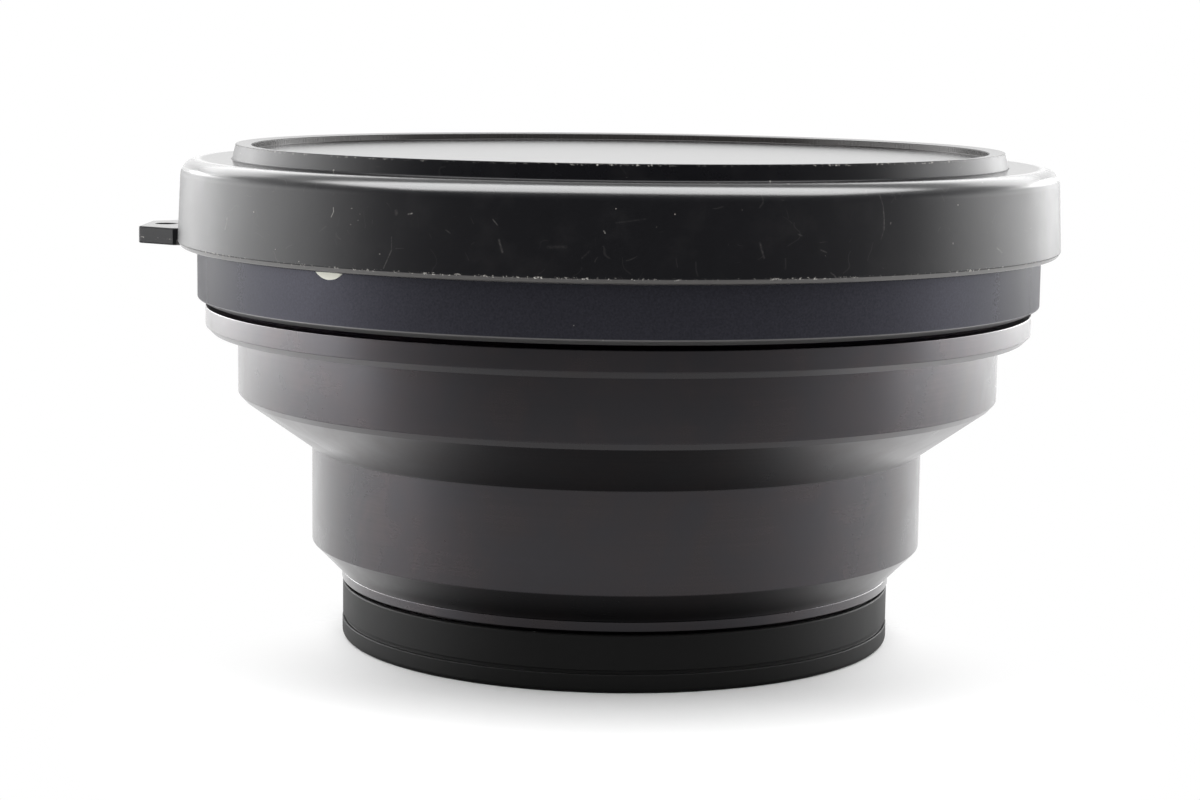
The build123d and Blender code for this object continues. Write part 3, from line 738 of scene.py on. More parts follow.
def turned_anodised_aluminium(look, name="turned black anodised aluminium"):
    """Aluminium turned on a lathe and black anodised.

    The tool leaves fine lines round the piece, which stretch the highlight up and down. The dye has
    taken unevenly, so brown and purple stains show in the black.
    """
    material, tree, shader = surface(name)
    place = millimetres(tree)
    unrolled, _, height = round_axis(tree, place, 40.0)
    # Feed marks of 0.08 mm, drawn 0.25 mm apart so that they show.
    feed = add(tree, "ShaderNodeVectorMath", {0: unrolled, 1: (0.02, 1 / 0.25, 1)}, operation="MULTIPLY")
    lines = add(tree, "ShaderNodeTexNoise", {"Vector": feed, "Scale": 1.0, "Detail": 2.0})
    cloud = add(
        tree, "ShaderNodeTexNoise",
        {"Vector": place, "Scale": 0.18, "Detail": 6.0, "Roughness": 0.62, "Distortion": 0.4},
    )
    stained = add(tree, "ShaderNodeMapRange", {"Value": cloud, "From Min": 0.4, "From Max": 0.66})
    tint = add(tree, "ShaderNodeMix", {0: stained, "A": look.anodise, "B": look.stain}, data_type="RGBA")
    spread = add(
        tree, "ShaderNodeMapRange",
        {"Value": lines, "From Min": 0.3, "From Max": 0.7, "To Min": 0.88, "To Max": 1.12},
    )
    lined = add(tree, "ShaderNodeVectorMath", {0: tint, "Scale": spread}, operation="SCALE")
    grit = specks(tree, place, 4.0, 0.2, 0.2)
    strength = add(tree, "ShaderNodeMath", {0: grit, 1: 0.22}, operation="MULTIPLY")
    base = add(tree, "ShaderNodeMix", {0: strength, "A": lined, "B": linear("#B4B0AC")}, data_type="RGBA")
    rough = add(
        tree, "ShaderNodeMapRange",
        {"Value": cloud, "From Min": 0.3, "From Max": 0.7, "To Min": 0.26, "To Max": 0.36},
    )
    bump = add(tree, "ShaderNodeBump", {"Strength": 0.2, "Distance": 0.006 * MM, "Height": lines})
    sealed = add(
        tree, "ShaderNodeMapRange",
        {"Value": cloud, "From Min": 0.35, "From Max": 0.65, "To Min": 1.0, "To Max": 0.9},
    )
    # The flat cone under the wide band was cut with a coarser feed, and is duller.
    facing = add(tree, "ShaderNodeSeparateXYZ", {0: add(tree, "ShaderNodeTexCoord").outputs["Normal"]})
    duller = add(
        tree, "ShaderNodeMapRange",
        {"Value": facing.outputs["Z"], "From Min": -0.85, "From Max": -0.78, "To Min": 0.7},
    )
    sealing = add(tree, "ShaderNodeMath", {0: sealed, 1: duller}, operation="MULTIPLY")
    # Old grease and dirt fill the slit under the front ring, so it looks black.
    slit = between(tree, height, RING_LOW.z / MM - 0.42, BEYOND, 0.05)
    clean = add(tree, "ShaderNodeMath", {0: 1.0, 1: slit}, operation="SUBTRACT")
    shine = add(tree, "ShaderNodeMath", {0: sealing, 1: clean}, operation="MULTIPLY")
    dull = add(tree, "ShaderNodeMix", {0: slit, 2: rough, 3: 0.85})
    fill(tree, shader, {
        "Base Color": base,
        "Roughness": dull,
        "Normal": bump,
        "Metallic": 1.0,
        "Coat Weight": shine,
        "Coat IOR": 1.62,
        "Coat Roughness": 0.26,
    })
    return material


def moulded_rear_plastic(look):
    """Soft black polyethylene, moulded, with a faint sheen and a few grains of dust."""
    material, tree, shader = surface("moulded polyethylene")
    place = millimetres(tree)
    cloud = add(tree, "ShaderNodeTexNoise", {"Vector": place, "Scale": 0.25, "Detail": 4.0})
    grit = specks(tree, place, 2.6, 0.2, 0.22)
    strength = add(tree, "ShaderNodeMath", {0: grit, 1: 0.25}, operation="MULTIPLY")
    dust = linear("#A9A7A4")
    base = add(tree, "ShaderNodeMix", {0: strength, "A": look.plastic, "B": dust}, data_type="RGBA")
    rough = add(tree, "ShaderNodeMapRange", {"Value": cloud, "To Min": 0.42, "To Max": 0.52})
    # The mould's grain is about 0.05 mm, drawn at 0.2 mm so that it shows.
    grain = add(tree, "ShaderNodeTexNoise", {"Vector": place, "Scale": 1 / 0.2, "Detail": 2.0})
    bump = add(tree, "ShaderNodeBump", {"Strength": 0.2, "Distance": 0.008 * MM, "Height": grain})
    fill(tree, shader, {
        "Base Color": base,
        "Roughness": rough,
        "Normal": bump,
        "IOR": 1.51,
        "Specular IOR Level": 0.16,
    })
    return material


def coated_glass(name, code):
    """Polished optical glass with a thin anti-reflection coating, which tints its reflections."""
    material, tree, shader = surface(name)
    # Dust that has settled on the polished surface: grains of 0.1 mm.
    grit = specks(tree, millimetres(tree), 3.0, 0.14, 0.2)
    base = add(
        tree, "ShaderNodeMix", {0: grit, "A": linear(code), "B": linear("#C9C6C0")}, data_type="RGBA"
    )
    rough = add(tree, "ShaderNodeMapRange", {"Value": grit, "To Min": 0.0, "To Max": 0.6})
    clear = add(tree, "ShaderNodeMapRange", {"Value": grit, "To Min": 1.0, "To Max": 0.2})
    fill(tree, shader, {
        "Base Color": base,
        "Roughness": rough,
        "Transmission Weight": clear,
        "IOR": 1.62,
        "Thin Film Thickness": 130.0,
        "Thin Film IOR": 1.38,
    })
    return material


def mottled(tree, grain, detail, dark, light):
    """Tone that wanders between two colours over grains of this size in millimetres, and its pattern."""
    pattern = add(
        tree, "ShaderNodeTexNoise", {"Vector": millimetres(tree), "Scale": 1 / grain, "Detail": detail}
    )
    return pattern, add(tree, "ShaderNodeMix", {0: pattern, "A": dark, "B": light}, data_type="RGBA")


def matt_optical_paint():
    """Flat black paint, sprayed on to keep stray light down: rough, with a fine orange peel."""
    material, tree, shader = surface("matt black optical paint")
    peel, tone = mottled(tree, 0.35, 3.0, linear("#0D0D0D"), linear("#171717"))
    bump = add(tree, "ShaderNodeBump", {"Strength": 0.4, "Distance": 0.02 * MM, "Height": peel})
    fill(tree, shader, {"Base Color": tone, "Normal": bump, "Roughness": 0.7})
    return material


def blackened_steel():
    """Small steel screws, turned and blackened in hot oxide, with a faint brown cast."""
    material, tree, shader = surface("black oxide steel")
    oxide, tone = mottled(tree, 0.4, 3.0, linear("#262422"), linear("#3B3733"))
    rough = add(tree, "ShaderNodeMapRange", {"Value": oxide, "To Min": 0.3, "To Max": 0.5})
    fill(tree, shader, {"Base Color": tone, "Roughness": rough, "Metallic": 1.0})
    return material


def enamel_fill(look):
    """Pale enamel, filled into the engraved dot by hand: a little uneven, with a low gloss."""
    material, tree, shader = surface("pale enamel fill")
    thickness, tone = mottled(tree, 0.8, 4.0, tuple(0.85 * c for c in look.dot), look.dot)
    rough = add(tree, "ShaderNodeMapRange", {"Value": thickness, "To Min": 0.4, "To Max": 0.6})
    fill(tree, shader, {"Base Color": tone, "Roughness": rough})
    return material


def nitrile_rubber():
    """Black nitrile rubber of a square section seal: dull, with a faint powdery bloom."""
    material, tree, shader = surface("nitrile rubber")
    _, tone = mottled(tree, 1.2, 4.0, linear("#141414"), linear("#232322"))
    fill(tree, shader, {"Base Color": tone, "Roughness": 0.75})
    return material


def dress(node, material):
    """Gives a CAD node that stays its material."""
    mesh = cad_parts[node].data
    mesh.materials.clear()
    mesh.materials.append(material)


# Lamps: name, place, what it points at, width and height, radiance, lights colour, shows in gloss.
# Panels and softboxes only show in gloss, and the fills only light colour, so that colours stay plain.
LAMPS = [
    ("ceiling panel", (0, -0.12, 0.62), (0, -0.12, 0), (1.3, 0.56), 6.4, False, True),
    ("back left ceiling panel", (-0.34, 0.5, 0.36), (0, 0, 0.04), (0.45, 0.24), 2.3, False, True),
    ("back right ceiling panel", (0.34, 0.5, 0.36), (0, 0, 0.04), (0.45, 0.24), 2.4, False, True),
    ("back panel", (0, 0.9, 0.26), (0, 0, 0.05), (1.4, 0.5), 0.3, False, True),
    ("left softbox", (-0.42, 0.13, 0.085), (0, 0, 0.04), (0.64, 0.17), 6.2, False, True),
    ("right softbox", (0.4, 0.2, 0.085), (0, 0, 0.04), (0.56, 0.17), 5.8, False, True),
    ("overhead fill", (0, -0.05, 0.62), (0, 0, 0), (0.6, 0.5), 2.2, True, False),
    ("left fill", (-0.4, 0.2, 0.14), (0, 0, 0.04), (0.56, 0.28), 2.3, True, False),
    ("right fill", (0.4, 0.2, 0.14), (0, 0, 0.04), (0.56, 0.28), 2.3, True, False),
    ("front fill", (0, -0.62, 0.34), (0, 0, 0.03), (0.6, 0.5), 2.6, True, False),
]

# How bright gloss shows the paper in front of the lens: (millimetres from the axis, shade).
# It is dim under the steps of the barrel, bright between them, and dim again in the dark room.
PAPER_SHADES = [
    (32, 0.08), (36, 0.58), (40, 0.58), (46, 0.1), (52, 0.1),
    (66, 0.6), (80, 0.74), (150, 0.7), (190, 0.6), (260, 0.26),
]
PAPER_REACH = 300


def white_room(scene):
    """World that the camera sees white, and that gloss sees as a room, dark behind the camera."""
    world = bpy.data.worlds.new("white room")
    scene.world = world
    world.use_nodes = True
    tree = world.node_tree
    tree.nodes.clear()
    path = add(tree, "ShaderNodeLightPath")
    seen = add(
        tree, "ShaderNodeMath", {0: path.outputs["Is Camera Ray"], 1: path.outputs["Is Transmission Ray"]},
        operation="MAXIMUM",
    )
    # The room is white low down at the sides and the back, and dim above.
    way = add(tree, "ShaderNodeTexCoord")
    parts = add(tree, "ShaderNodeSeparateXYZ", {0: way.outputs["Generated"]})
    room = add(
        tree, "ShaderNodeMapRange",
        {"Value": parts.outputs["Y"], "From Min": -0.9, "From Max": -0.05, "To Min": 0.12, "To Max": 0.94},
        interpolation_type="SMOOTHSTEP",
    )
    low = add(
        tree, "ShaderNodeMapRange",
        {"Value": parts.outputs["Z"], "From Min": 0.14, "From Max": 0.42, "To Min": 1.0, "To Max": 0.3},
        interpolation_type="SMOOTHSTEP",
    )
    walls = add(tree, "ShaderNodeMath", {0: room, 1: low}, operation="MULTIPLY")
    mirrored = add(tree, "ShaderNodeMix", {0: path.outputs["Is Glossy Ray"], 2: 0.4, 3: walls})
    strength = add(tree, "ShaderNodeMix", {0: seen, 2: mirrored, 3: 1.0})
    light = add(tree, "ShaderNodeBackground", {"Color": (1, 1, 1), "Strength": strength})
    add(tree, "ShaderNodeOutputWorld", {0: light})


def mirrored_paper(tree, place):
    """How bright gloss shows the paper: dim in front and under the lens, and white elsewhere."""
    parts = add(tree, "ShaderNodeSeparateXYZ", {0: place})
    level = add(tree, "ShaderNodeVectorMath", {0: place, 1: (1, 1, 0)}, operation="MULTIPLY")
    away = add(tree, "ShaderNodeVectorMath", {0: level}, operation="LENGTH").outputs["Value"]
    forward = add(tree, "ShaderNodeMath", {0: parts.outputs["Y"], 1: away}, operation="DIVIDE")
    reach = add(tree, "ShaderNodeMath", {0: away, 1: 1 / PAPER_REACH}, operation="MULTIPLY")
    front = add(tree, "ShaderNodeValToRGB", {"Fac": reach})
    front.color_ramp.interpolation = "EASE"
    stops = front.color_ramp.elements
    stops[0].position = PAPER_SHADES[0][0] / PAPER_REACH
    stops[1].position = PAPER_SHADES[-1][0] / PAPER_REACH
    for radius, _ in PAPER_SHADES[1:-1]:
        stops.new(radius / PAPER_REACH)
    for stop, (_, shade) in zip(stops, PAPER_SHADES):
        stop.color = (shade, shade, shade, 1)
    behind = add(
        tree, "ShaderNodeMapRange", {"Value": forward, "From Min": -0.95, "From Max": -0.25},
        interpolation_type="SMOOTHSTEP",
    )
    under = add(
        tree, "ShaderNodeMapRange", {"Value": away, "From Min": 28.0, "From Max": 42.0, "To Min": 0.5},
        interpolation_type="SMOOTHSTEP",
    )
    return add(tree, "ShaderNodeMix", {0: behind, 2: front, 3: under})


def white_paper(look):
    """Matt white paper with a faint fibre, which keeps the lens's shadow."""
    material, tree, shader = surface("white paper sweep")
    place = millimetres(tree)
    fibre = add(tree, "ShaderNodeTexNoise", {"Vector": place, "Scale": 0.8, "Detail": 4.0})
    shaded = tuple(0.985 * c for c in look.paper)
    tone = add(tree, "ShaderNodeMix", {0: fibre, "A": shaded, "B": look.paper}, data_type="RGBA")
    # To the camera the paper is white, but for the shadow close to the lens, which falls to the front.
    path = add(tree, "ShaderNodeLightPath")
    camera, gloss = path.outputs["Is Camera Ray"], path.outputs["Is Glossy Ray"]
    shifted = add(tree, "ShaderNodeVectorMath", {0: place, 1: (0, 40, 0)}, operation="ADD")
    from_shade = add(tree, "ShaderNodeVectorMath", {0: shifted, 1: (1, 1, 0)}, operation="MULTIPLY")
    from_middle = add(tree, "ShaderNodeVectorMath", {0: from_shade}, operation="LENGTH")
    far = add(
        tree, "ShaderNodeMapRange",
        {"Value": from_middle.outputs["Value"], "From Min": 20.0, "From Max": 53.0},
        interpolation_type="SMOOTHSTEP",
    )
    closed = add(tree, "ShaderNodeAmbientOcclusion", {"Distance": 0.02}, samples=8).outputs["AO"]
    open_air = add(tree, "ShaderNodeMapRange", {"Value": closed, "From Min": 0.2, "From Max": 0.5})
    steep = add(tree, "ShaderNodeMath", {0: closed, 1: 3.0}, operation="POWER")
    lift = add(tree, "ShaderNodeMath", {0: steep, 1: 0.3}, operation="MULTIPLY")
    fill(tree, shader, {
        "Base Color": tone,
        "Roughness": 0.9,
        "Specular IOR Level": 0.2,
        "Emission Color": (1, 1, 1),
        "Emission Strength": add(tree, "ShaderNodeMath", {0: lift, 1: camera}, operation="MULTIPLY"),
    })
    clear = add(tree, "ShaderNodeMath", {0: far, 1: open_air}, operation="MULTIPLY")
    cleared = add(tree, "ShaderNodeMath", {0: clear, 1: camera}, operation="MULTIPLY")
    strength = add(tree, "ShaderNodeMix", {0: gloss, 2: 1.0, 3: mirrored_paper(tree, place)})
    white = add(tree, "ShaderNodeEmission", {"Color": (1, 1, 1), "Strength": strength})
    plain = add(tree, "ShaderNodeMath", {0: cleared, 1: gloss}, operation="MAXIMUM")
    out = add(tree, "ShaderNodeMixShader", {0: plain, 1: shader, 2: white})
    fill(tree, tree.nodes["Material Output"], {"Surface": out})
    return material


class LENS_OT_stage(bpy.types.Operator):
    """Sets up the camera, the white paper sweep and the soft studio light"""

    bl_idname = "lens.stage"
    bl_label = "Stage"

    def execute(self, context):
        stage = context.scene.lens_stage
        self.aim_camera(context.scene, stage)
        context.scene.view_settings.view_transform = "Standard"
        self.hang_lamps(context.scene)
        white_room(context.scene)
        self.lay_paper(context.scene, stage)
        return {"FINISHED"}

    def aim_camera(self, scene, stage):
        """Adds the camera where the photograph was taken from."""
        yaw, pitch, roll = stage.yaw, stage.pitch, stage.roll
        ahead = Vector((math.sin(yaw) * math.cos(pitch), math.cos(yaw) * math.cos(pitch), -math.sin(pitch)))
        level = Vector((math.cos(yaw), -math.sin(yaw), 0))
        upright = level.cross(ahead)
        right = math.cos(roll) * level + math.sin(roll) * upright
        up = math.cos(roll) * upright - math.sin(roll) * level
        data = bpy.data.cameras.new("camera")
        data.lens = stage.focal
        data.sensor_width = 36
        data.clip_start = 0.01
        camera = bpy.data.objects.new("camera", data)
        turn = Matrix((right, up, -ahead)).transposed().to_4x4()
        camera.matrix_world = Matrix.Translation((0, -stage.distance, stage.height)) @ turn
        scene.collection.objects.link(camera)
        scene.camera = camera

    def hang_lamps(self, scene):
        """Adds the area lamps. A lamp's power is its radiance times pi times its area."""
        for name, place, aim, (wide, tall), radiance, lights, shows in LAMPS:
            data = bpy.data.lights.new(name, "AREA")
            data.shape = "RECTANGLE"
            data.size = wide
            data.size_y = tall
            data.energy = radiance * math.pi * wide * tall
            lamp = bpy.data.objects.new(name, data)
            lamp.location = place
            lamp.rotation_euler = (Vector(aim) - Vector(place)).to_track_quat("-Z", "Y").to_euler()
            lamp.visible_camera = False
            lamp.visible_transmission = False
            lamp.visible_diffuse = lights
            lamp.visible_glossy = shows
            scene.collection.objects.link(lamp)

    def lay_paper(self, scene, stage):
        """Adds the paper sweep that the lens stands on."""
        left, right, near, far = -0.8, 0.8, -0.6, 1.4
        paper = bmesh.new()
        corners = [(left, near), (right, near), (right, far), (left, far)]
        paper.faces.new([paper.verts.new((x, y, 0)) for x, y in corners])
        mesh = bpy.data.meshes.new("paper_sweep")
        paper.to_mesh(mesh)
        paper.free()
        floor = bpy.data.objects.new("paper_sweep", mesh)
        scene.collection.objects.link(floor)
        mesh.materials.append(white_paper(stage))


class LENS_OT_front_cap(bpy.types.Operator):
    """Makes the push-on front cap with its rim, ribs and tether lug"""

    bl_idname = "lens.front_cap"
    bl_label = "Front cap"

    def execute(self, context):
        cap = context.scene.lens_front_cap
        ring = context.scene.lens_front_ring.radius
        shape = Shape()
        self.turn_cup(shape, cap, ring)
        self.add_ribs(shape, cap, ring)
        self.add_lug(shape, cap)
        finish = moulded_cap_plastic(cap)
        shape.build("cap_front", "front_cap_body", "front_cap_plastic", finish, "front_cap")
        return {"FINISHED"}

    def turn_cup(self, shape, cap, ring):
        """The disc, the raised rim, the ledge and the skirt, with a bulged bevel at the mouth."""
        mouth_z, rim_z, stop_z = CAP_LOW.z, CAP_HIGH.z, RING_HIGH.z
        ledge_z = rim_z - cap.ledge_drop
        disc_z = rim_z - cap.recess
        ceiling_z = disc_z - cap.disc
        stop = ring - 5.0 * MM
        inner_top = ring + 0.4 * MM
        inner_mouth = cap.mouth - cap.skirt_wall
        rim_foot = cap.shoulder - cap.ledge
        rim_top = rim_foot - cap.rim_taper
        rim_inner = rim_top - cap.rim_width
        # The ledge and the rim's top fall a little towards the middle.
        fall = 0.12 * MM
        shape.turn([
            (0, ceiling_z),
            (stop, ceiling_z),
            (stop, stop_z),
            (inner_top, stop_z, 0.8 * MM),
            (inner_mouth, mouth_z, 0.15 * MM),
            (cap.mouth - 0.83 * MM, mouth_z, 0.12 * MM),
            (cap.mouth - 0.28 * MM, mouth_z + 0.14 * MM, 0.3 * MM),
            (cap.mouth, mouth_z + 0.63 * MM, 0.12 * MM),
            (cap.shoulder, ledge_z, cap.shoulder_round),
            (rim_foot, ledge_z - fall, 0.15 * MM),
            (rim_top, rim_z, 0.06 * MM),
            (rim_inner, rim_z - fall, 0.12 * MM),
            (rim_inner, disc_z),
            (0, disc_z),
        ], steps=480)

    def add_ribs(self, shape, cap, ring):
        """Twelve grip ribs inside the skirt, which run into its wall."""
        count, lead = 12, 0.8 * MM
        inner = ring + 0.08 * MM
        outer = cap.mouth - cap.skirt_wall + 0.2 * MM
        half = cap.rib_width / 2
        outline = [(inner, -half), (outer, -half), (outer, half), (inner, half)]
        for k in range(count):
            rib = flat_outline(outline, CAP_LOW.z + lead, RING_HIGH.z)
            shape.add(rib, turn=2 * math.pi * (k + 0.5) / count)
            rib.free()

    def add_lug(self, shape, cap):
        """The lug, whose sides slant in to a tip with rounded corners, and whose root lies in the skirt."""
        corner, corner_steps = 0.5 * MM, 6
        hole_inset = 2.3 * MM
        tip = cap.mouth + cap.lug_reach
        root, half_root = cap.mouth - cap.skirt_wall + 0.2 * MM, cap.lug_root / 2
        lean = (cap.lug_root - cap.lug_tip) / 2 / cap.lug_reach
        first = math.pi / 2 + math.atan(lean)
        middle = Vector((corner - tip, cap.lug_tip / 2 - corner * (math.hypot(1, lean) - lean)))
        side = [(-root, half_root), (-cap.mouth, half_root)]
        for k in range(corner_steps + 1):
            a = first + (math.pi - first) * k / corner_steps
            side.append((middle.x + corner * math.cos(a), middle.y + corner * math.sin(a)))
        other_side = [(x, -y) for x, y in reversed(side)]
        # The root's back follows the skirt's wall, in this many steps to each side of the middle.
        back_steps = 6
        half_back = half_root - 0.4 * MM
        across = [half_back * (k / back_steps - 1) for k in range(2 * back_steps + 1)]
        back = [(-math.sqrt(root**2 - y**2), y) for y in across]
        top_z = CAP_LOW.z + cap.lug_thickness
        hole = (hole_inset - tip, 0, cap.tether_hole)
        lug = flat_outline(side + other_side + back, CAP_LOW.z, top_z, hole=hole, soft=0.15 * MM)
        shape.add(lug)
        lug.free()


class LENS_OT_front_ring(bpy.types.Operator):
    """Makes the plain front ring, with its index dot and its set screws"""

    bl_idname = "lens.front_ring"
    bl_label = "Front ring"

    def execute(self, context):
        ring = context.scene.lens_front_ring
        low, high = RING_LOW.z, RING_HIGH.z
        neck_z = BARREL_HIGH.z
        bore = ring.radius - 1.95 * MM
        mouth = ring.radius - ring.mouth_inset
        top_chamfer, mouth_bevel = 0.4 * MM, 1.0 * MM
        shape = Shape()
        shape.turn([
            (bore, low, 0.05 * MM),
            (ring.radius - ring.foot_width, low, 0.05 * MM),
            (ring.radius, low + ring.foot_height, 0.1 * MM),
            (ring.radius, high - top_chamfer),
            (ring.radius - top_chamfer, high),
            (mouth + mouth_bevel, high),
            (mouth, high - mouth_bevel),
            (mouth, neck_z, 0.05 * MM),
            (bore, neck_z, 0.05 * MM),
        ], steps=320)
        finish = blasted_anodised_aluminium(ring)
        piece = shape.build("ring_front", "lens_body", "satin_black_aluminium", finish, "front_ring")
        dot_angle, dot_drop, dot_depth = math.radians(232.4), 5.7 * MM, 0.15 * MM
        pocket = (dot_angle, high - dot_drop, ring.radius - dot_depth, ring.dot_radius)
        first_screw, screws = 30, 3
        screw_z, screw_floor, screw_radius = high - 4.1 * MM, ring.radius - 6 * MM, 1.05 * MM
        holes = [
            (math.radians(first_screw + 360 / screws * k), screw_z, screw_floor, screw_radius)
            for k in range(screws)
        ]
        bored(piece, [pocket, *holes])
        dress("index_dot", enamel_fill(ring))
        dress("front_ring_set_screws", blackened_steel())
        return {"FINISHED"}


class LENS_OT_barrel(bpy.types.Operator):
    """Makes the turned barrel with its bands, cones and waist"""

    bl_idname = "lens.barrel"
    bl_label = "Barrel"

    def execute(self, context):
        barrel = context.scene.lens_barrel
        shape = Shape()
        shape.turn(self.outside(barrel, context.scene.lens_mount.flange) + self.bore(context), steps=320)
        finish = turned_anodised_aluminium(barrel)
        shape.build("barrel_turned", "lens_body", "black_anodised_aluminium", finish, "lens_barrel")
        return {"FINISHED"}

    def outside(self, barrel, flange):
        """Outline of the outside, from the foot to the neck under the front ring."""
        waist_z = BARREL_LOW.z + barrel.lower_cone
        cone_z = waist_z + barrel.waist_height
        band_z = cone_z + barrel.upper_cone
        rim_z = band_z + barrel.band_height
        shoulder_z = rim_z + barrel.rim_band_height
        rim_chamfer = 0.65 * MM
        neck = barrel.rim_band - 1.18 * MM
        return [
            (flange, BARREL_LOW.z),
            (barrel.waist, waist_z, 0.12 * MM),
            (barrel.waist, cone_z, 0.12 * MM),
            (barrel.band - 0.6 * MM, band_z, 0.12 * MM),
            (barrel.band, band_z + 0.66 * MM, 0.12 * MM),
            (barrel.band, rim_z, 0.08 * MM),
            (barrel.rim_band - rim_chamfer, rim_z, 0.08 * MM),
            (barrel.rim_band, rim_z + rim_chamfer, 0.1 * MM),
            (barrel.rim_band, shoulder_z),
            (neck, shoulder_z, 0.05 * MM),
            (neck, BARREL_HIGH.z),
        ]

    def bore(self, context):
        """Outline of the bore, from the neck down past both lens groups' ledges to the foot."""
        front = context.scene.lens_barrel.rim_band + 0.82 * MM - 7.0 * MM
        rear = context.scene.lens_mount.crest - 3.4 * MM
        spigot = context.scene.lens_mount.flange - 1.7 * MM
        # The front group's room: its lock ring, the groove for its seal and its ledge.
        lock_z, seal_z, ledge_z = 44.21 * MM, 42.11 * MM, 30.85 * MM
        seal_height, seal_depth, glass_fit = 1.2 * MM, 1.05 * MM, 0.05 * MM
        # The rear group's room: a flare under the light baffle, a ledge and its lock ring.
        flare_z, throat_z, stop_z = 18.85 * MM, 16.87 * MM, 15.67 * MM
        rear_lock_z, spigot_z = 10.4 * MM, 8.76 * MM
        return [
            (front + 1.9 * MM, BARREL_HIGH.z),
            (front + 1.9 * MM, lock_z),
            (front + glass_fit, lock_z),
            (front + glass_fit, seal_z),
            (front + seal_depth, seal_z),
            (front + seal_depth, seal_z - seal_height),
            (front + glass_fit, seal_z - seal_height),
            (front + glass_fit, ledge_z),
            (front - 3.15 * MM, ledge_z),
            (rear + 0.9 * MM, flare_z),
            (rear - 1.3 * MM, throat_z),
            (rear - 1.3 * MM, stop_z),
            (rear + glass_fit, stop_z),
            (rear + glass_fit, rear_lock_z),
            (rear + 0.9 * MM, rear_lock_z),
            (rear + 0.9 * MM, spigot_z),
            (spigot, spigot_z),
            (spigot, BARREL_LOW.z),
        ]


class LENS_OT_mount(bpy.types.Operator):
    """Makes the rear mount ring with its cut male thread"""

    bl_idname = "lens.mount"
    bl_label = "Rear mount ring"

    def execute(self, context):
        mount = context.scene.lens_mount
        low, barrel_z, top = MOUNT_LOW.z, BARREL_LOW.z, MOUNT_HIGH.z
        flange_z = barrel_z - mount.flange_height
        relief_z = flange_z - 0.7 * MM
        spigot = mount.crest - 0.9 * MM
        relief = mount.crest - 0.5 * MM
        under_thread = relief - 0.3 * MM
        bore = mount.crest - 3.3 * MM
        flare = 1.0 * MM
        shape = Shape()
        shape.turn([
            (bore + flare, low),
            (under_thread, low),
            (under_thread, relief_z, 0.02 * MM),
            (relief, relief_z, 0.02 * MM),
            (relief, flange_z, 0.05 * MM),
            (mount.flange, flange_z),
            (mount.flange, barrel_z),
            (spigot, barrel_z, 0.05 * MM),
            (spigot, top),
            (bore, top),
            (bore, low + flare),
        ])
        self.cut_thread(shape, low, relief_z, mount.crest, mount.pitch)
        finish = turned_anodised_aluminium(context.scene.lens_barrel, "turned black anodised thread")
        shape.build("mount_threaded", "lens_body", "black_anodised_aluminium", finish, "rear_mount_ring")
        return {"FINISHED"}

    def cut_thread(self, shape, low, high, crest, pitch):
        """Adds a 60 degree thread with flat crests and roots, chamfered at its start."""
        steps, rows_per_turn = 256, 12
        rows = round((high - low) / pitch * rows_per_turn)
        depth = 0.6134 * pitch
        # Half the crest's flat, and the width of a flank, as shares of the pitch.
        half_crest, flank = 0.0625, 0.3125
        lead = 0.5 * MM

        def radius(angle, z):
            part = ((z - low) / pitch - angle / (2 * math.pi)) % 1
            ramp = min(max((abs(part - 0.5) - half_crest) / flank, 0), 1)
            return min(crest - ramp * depth, crest - lead + (z - low))

        first = len(shape.points)
        for i in range(rows + 1):
            z = low + (high - low) * i / rows
            for j in range(steps):
                a = 2 * math.pi * j / steps
                r = radius(a, z)
                shape.points.append((r * math.cos(a), r * math.sin(a), z))
        for i in range(rows):
            under = first + i * steps
            over = under + steps
            for j in range(steps):
                k = (j + 1) % steps
                face = [under + j, under + k, over + k, over + j]
                shape.faces.append(face)
                a, b, _, d = (Vector(shape.points[v]) for v in face)
                out = (b - a).cross(d - a).normalized()
                shape.normals += [tuple(out)] * 4


class LENS_OT_rear_cap(bpy.types.Operator):
    """Makes the push-on rear cap with the finger groove above its foot"""

    bl_idname = "lens.rear_cap"
    bl_label = "Rear cap"

    def execute(self, context):
        cap = context.scene.lens_rear_cap
        inner = context.scene.lens_mount.crest + 0.06 * MM
        outer = inner + cap.wall
        groove = outer - cap.groove_depth
        groove_top = cap.foot_height + cap.groove_width
        top = REAR_CAP_HIGH.z
        lead_in = 0.25 * MM
        # The mount ring rests on a step inside.
        step = inner - 2.4 * MM
        step_z = cap.floor + 0.6 * MM
        shape = Shape()
        shape.turn([
            (0, 0),
            (cap.foot, 0, 0.5 * MM),
            (cap.foot, cap.foot_height, 0.12 * MM),
            (groove, cap.foot_height, 0.05 * MM),
            (groove, groove_top, 0.05 * MM),
            (outer, groove_top, 0.12 * MM),
            (outer, top, 0.2 * MM),
            (inner + lead_in, top, 0.05 * MM),
            (inner, top - lead_in, 0.05 * MM),
            (inner, step_z, 0.15 * MM),
            (step, step_z),
            (step, cap.floor, 0.15 * MM),
            (0, cap.floor),
        ])
        finish = moulded_rear_plastic(cap)
        shape.build("cap_rear", "rear_cap_body", "rear_cap_plastic", finish, "rear_cap")
        return {"FINISHED"}


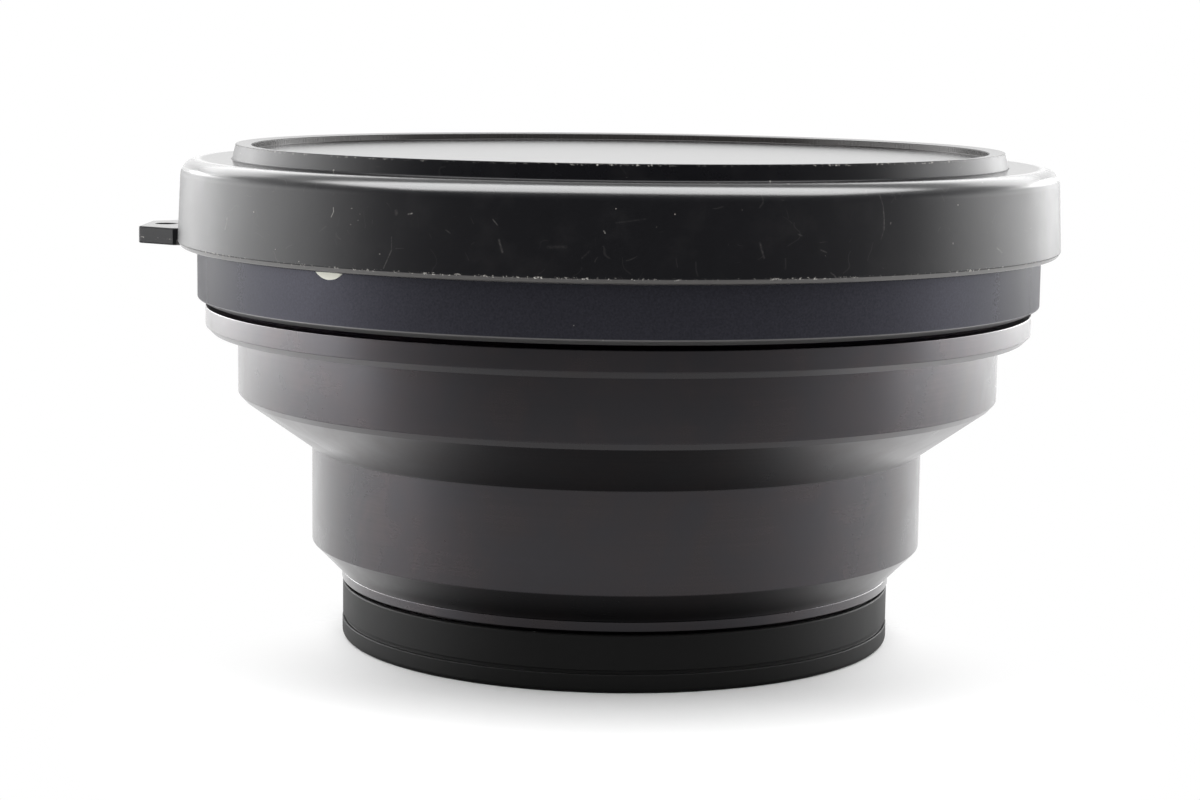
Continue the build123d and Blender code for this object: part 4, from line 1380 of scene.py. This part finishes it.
class LENS_OT_optics(bpy.types.Operator):
    """Gives the glass elements, their lock rings, the baffle, the shim and the seal their finishes"""

    bl_idname = "lens.optics"
    bl_label = "Optics"

    def execute(self, context):
        dress("front_element", coated_glass("coated front glass", "#EEF6F1"))
        dress("rear_flint_element", coated_glass("coated flint glass", "#F2F0E6"))
        dress("rear_crown_element", coated_glass("coated crown glass", "#EFF5F3"))
        paint = matt_optical_paint()
        for node in ("light_baffle", "shim_ring", "front_lock_ring"):
            dress(node, paint)
        lock_finish = turned_anodised_aluminium(context.scene.lens_barrel, "turned black anodised lock ring")
        dress("rear_lock_ring", lock_finish)
        dress("edge_seal", nitrile_rubber())
        return {"FINISHED"}


PIECES = (
    LENS_OT_stage,
    LENS_OT_front_cap,
    LENS_OT_front_ring,
    LENS_OT_barrel,
    LENS_OT_mount,
    LENS_OT_rear_cap,
    LENS_OT_optics,
)
GROUPS = {
    "lens_front_cap": FrontCapSizes,
    "lens_front_ring": FrontRingSizes,
    "lens_barrel": BarrelSizes,
    "lens_mount": MountSizes,
    "lens_rear_cap": RearCapSizes,
    "lens_stage": StageSizes,
}


class LENS_PT_pieces(bpy.types.Panel):
    """Lists the lens's pieces and their sizes"""

    bl_idname = "LENS_PT_pieces"
    bl_label = "Conversion lens"
    bl_space_type = "VIEW_3D"
    bl_region_type = "UI"
    bl_category = "Lens"

    def draw(self, context):
        for operator in PIECES:
            self.layout.operator(operator.bl_idname)
        for name, group in GROUPS.items():
            box = self.layout.box()
            box.label(text=name.replace("_", " "))
            for field in group.__annotations__:
                box.prop(getattr(context.scene, name), field)


def register():
    for group in GROUPS.values():
        bpy.utils.register_class(group)
    for operator in PIECES:
        bpy.utils.register_class(operator)
    bpy.utils.register_class(LENS_PT_pieces)
    for name, group in GROUPS.items():
        setattr(bpy.types.Scene, name, bpy.props.PointerProperty(type=group))


def unregister():
    for name in GROUPS:
        delattr(bpy.types.Scene, name)
    bpy.utils.unregister_class(LENS_PT_pieces)
    for operator in reversed(PIECES):
        bpy.utils.unregister_class(operator)
    for group in reversed(GROUPS.values()):
        bpy.utils.unregister_class(group)


def main():
    register()
    bpy.ops.lens.stage()
    bpy.ops.lens.front_cap()
    bpy.ops.lens.front_ring()
    bpy.ops.lens.barrel()
    bpy.ops.lens.mount()
    bpy.ops.lens.rear_cap()
    bpy.ops.lens.optics()


if __name__ == "__main__":
    main()
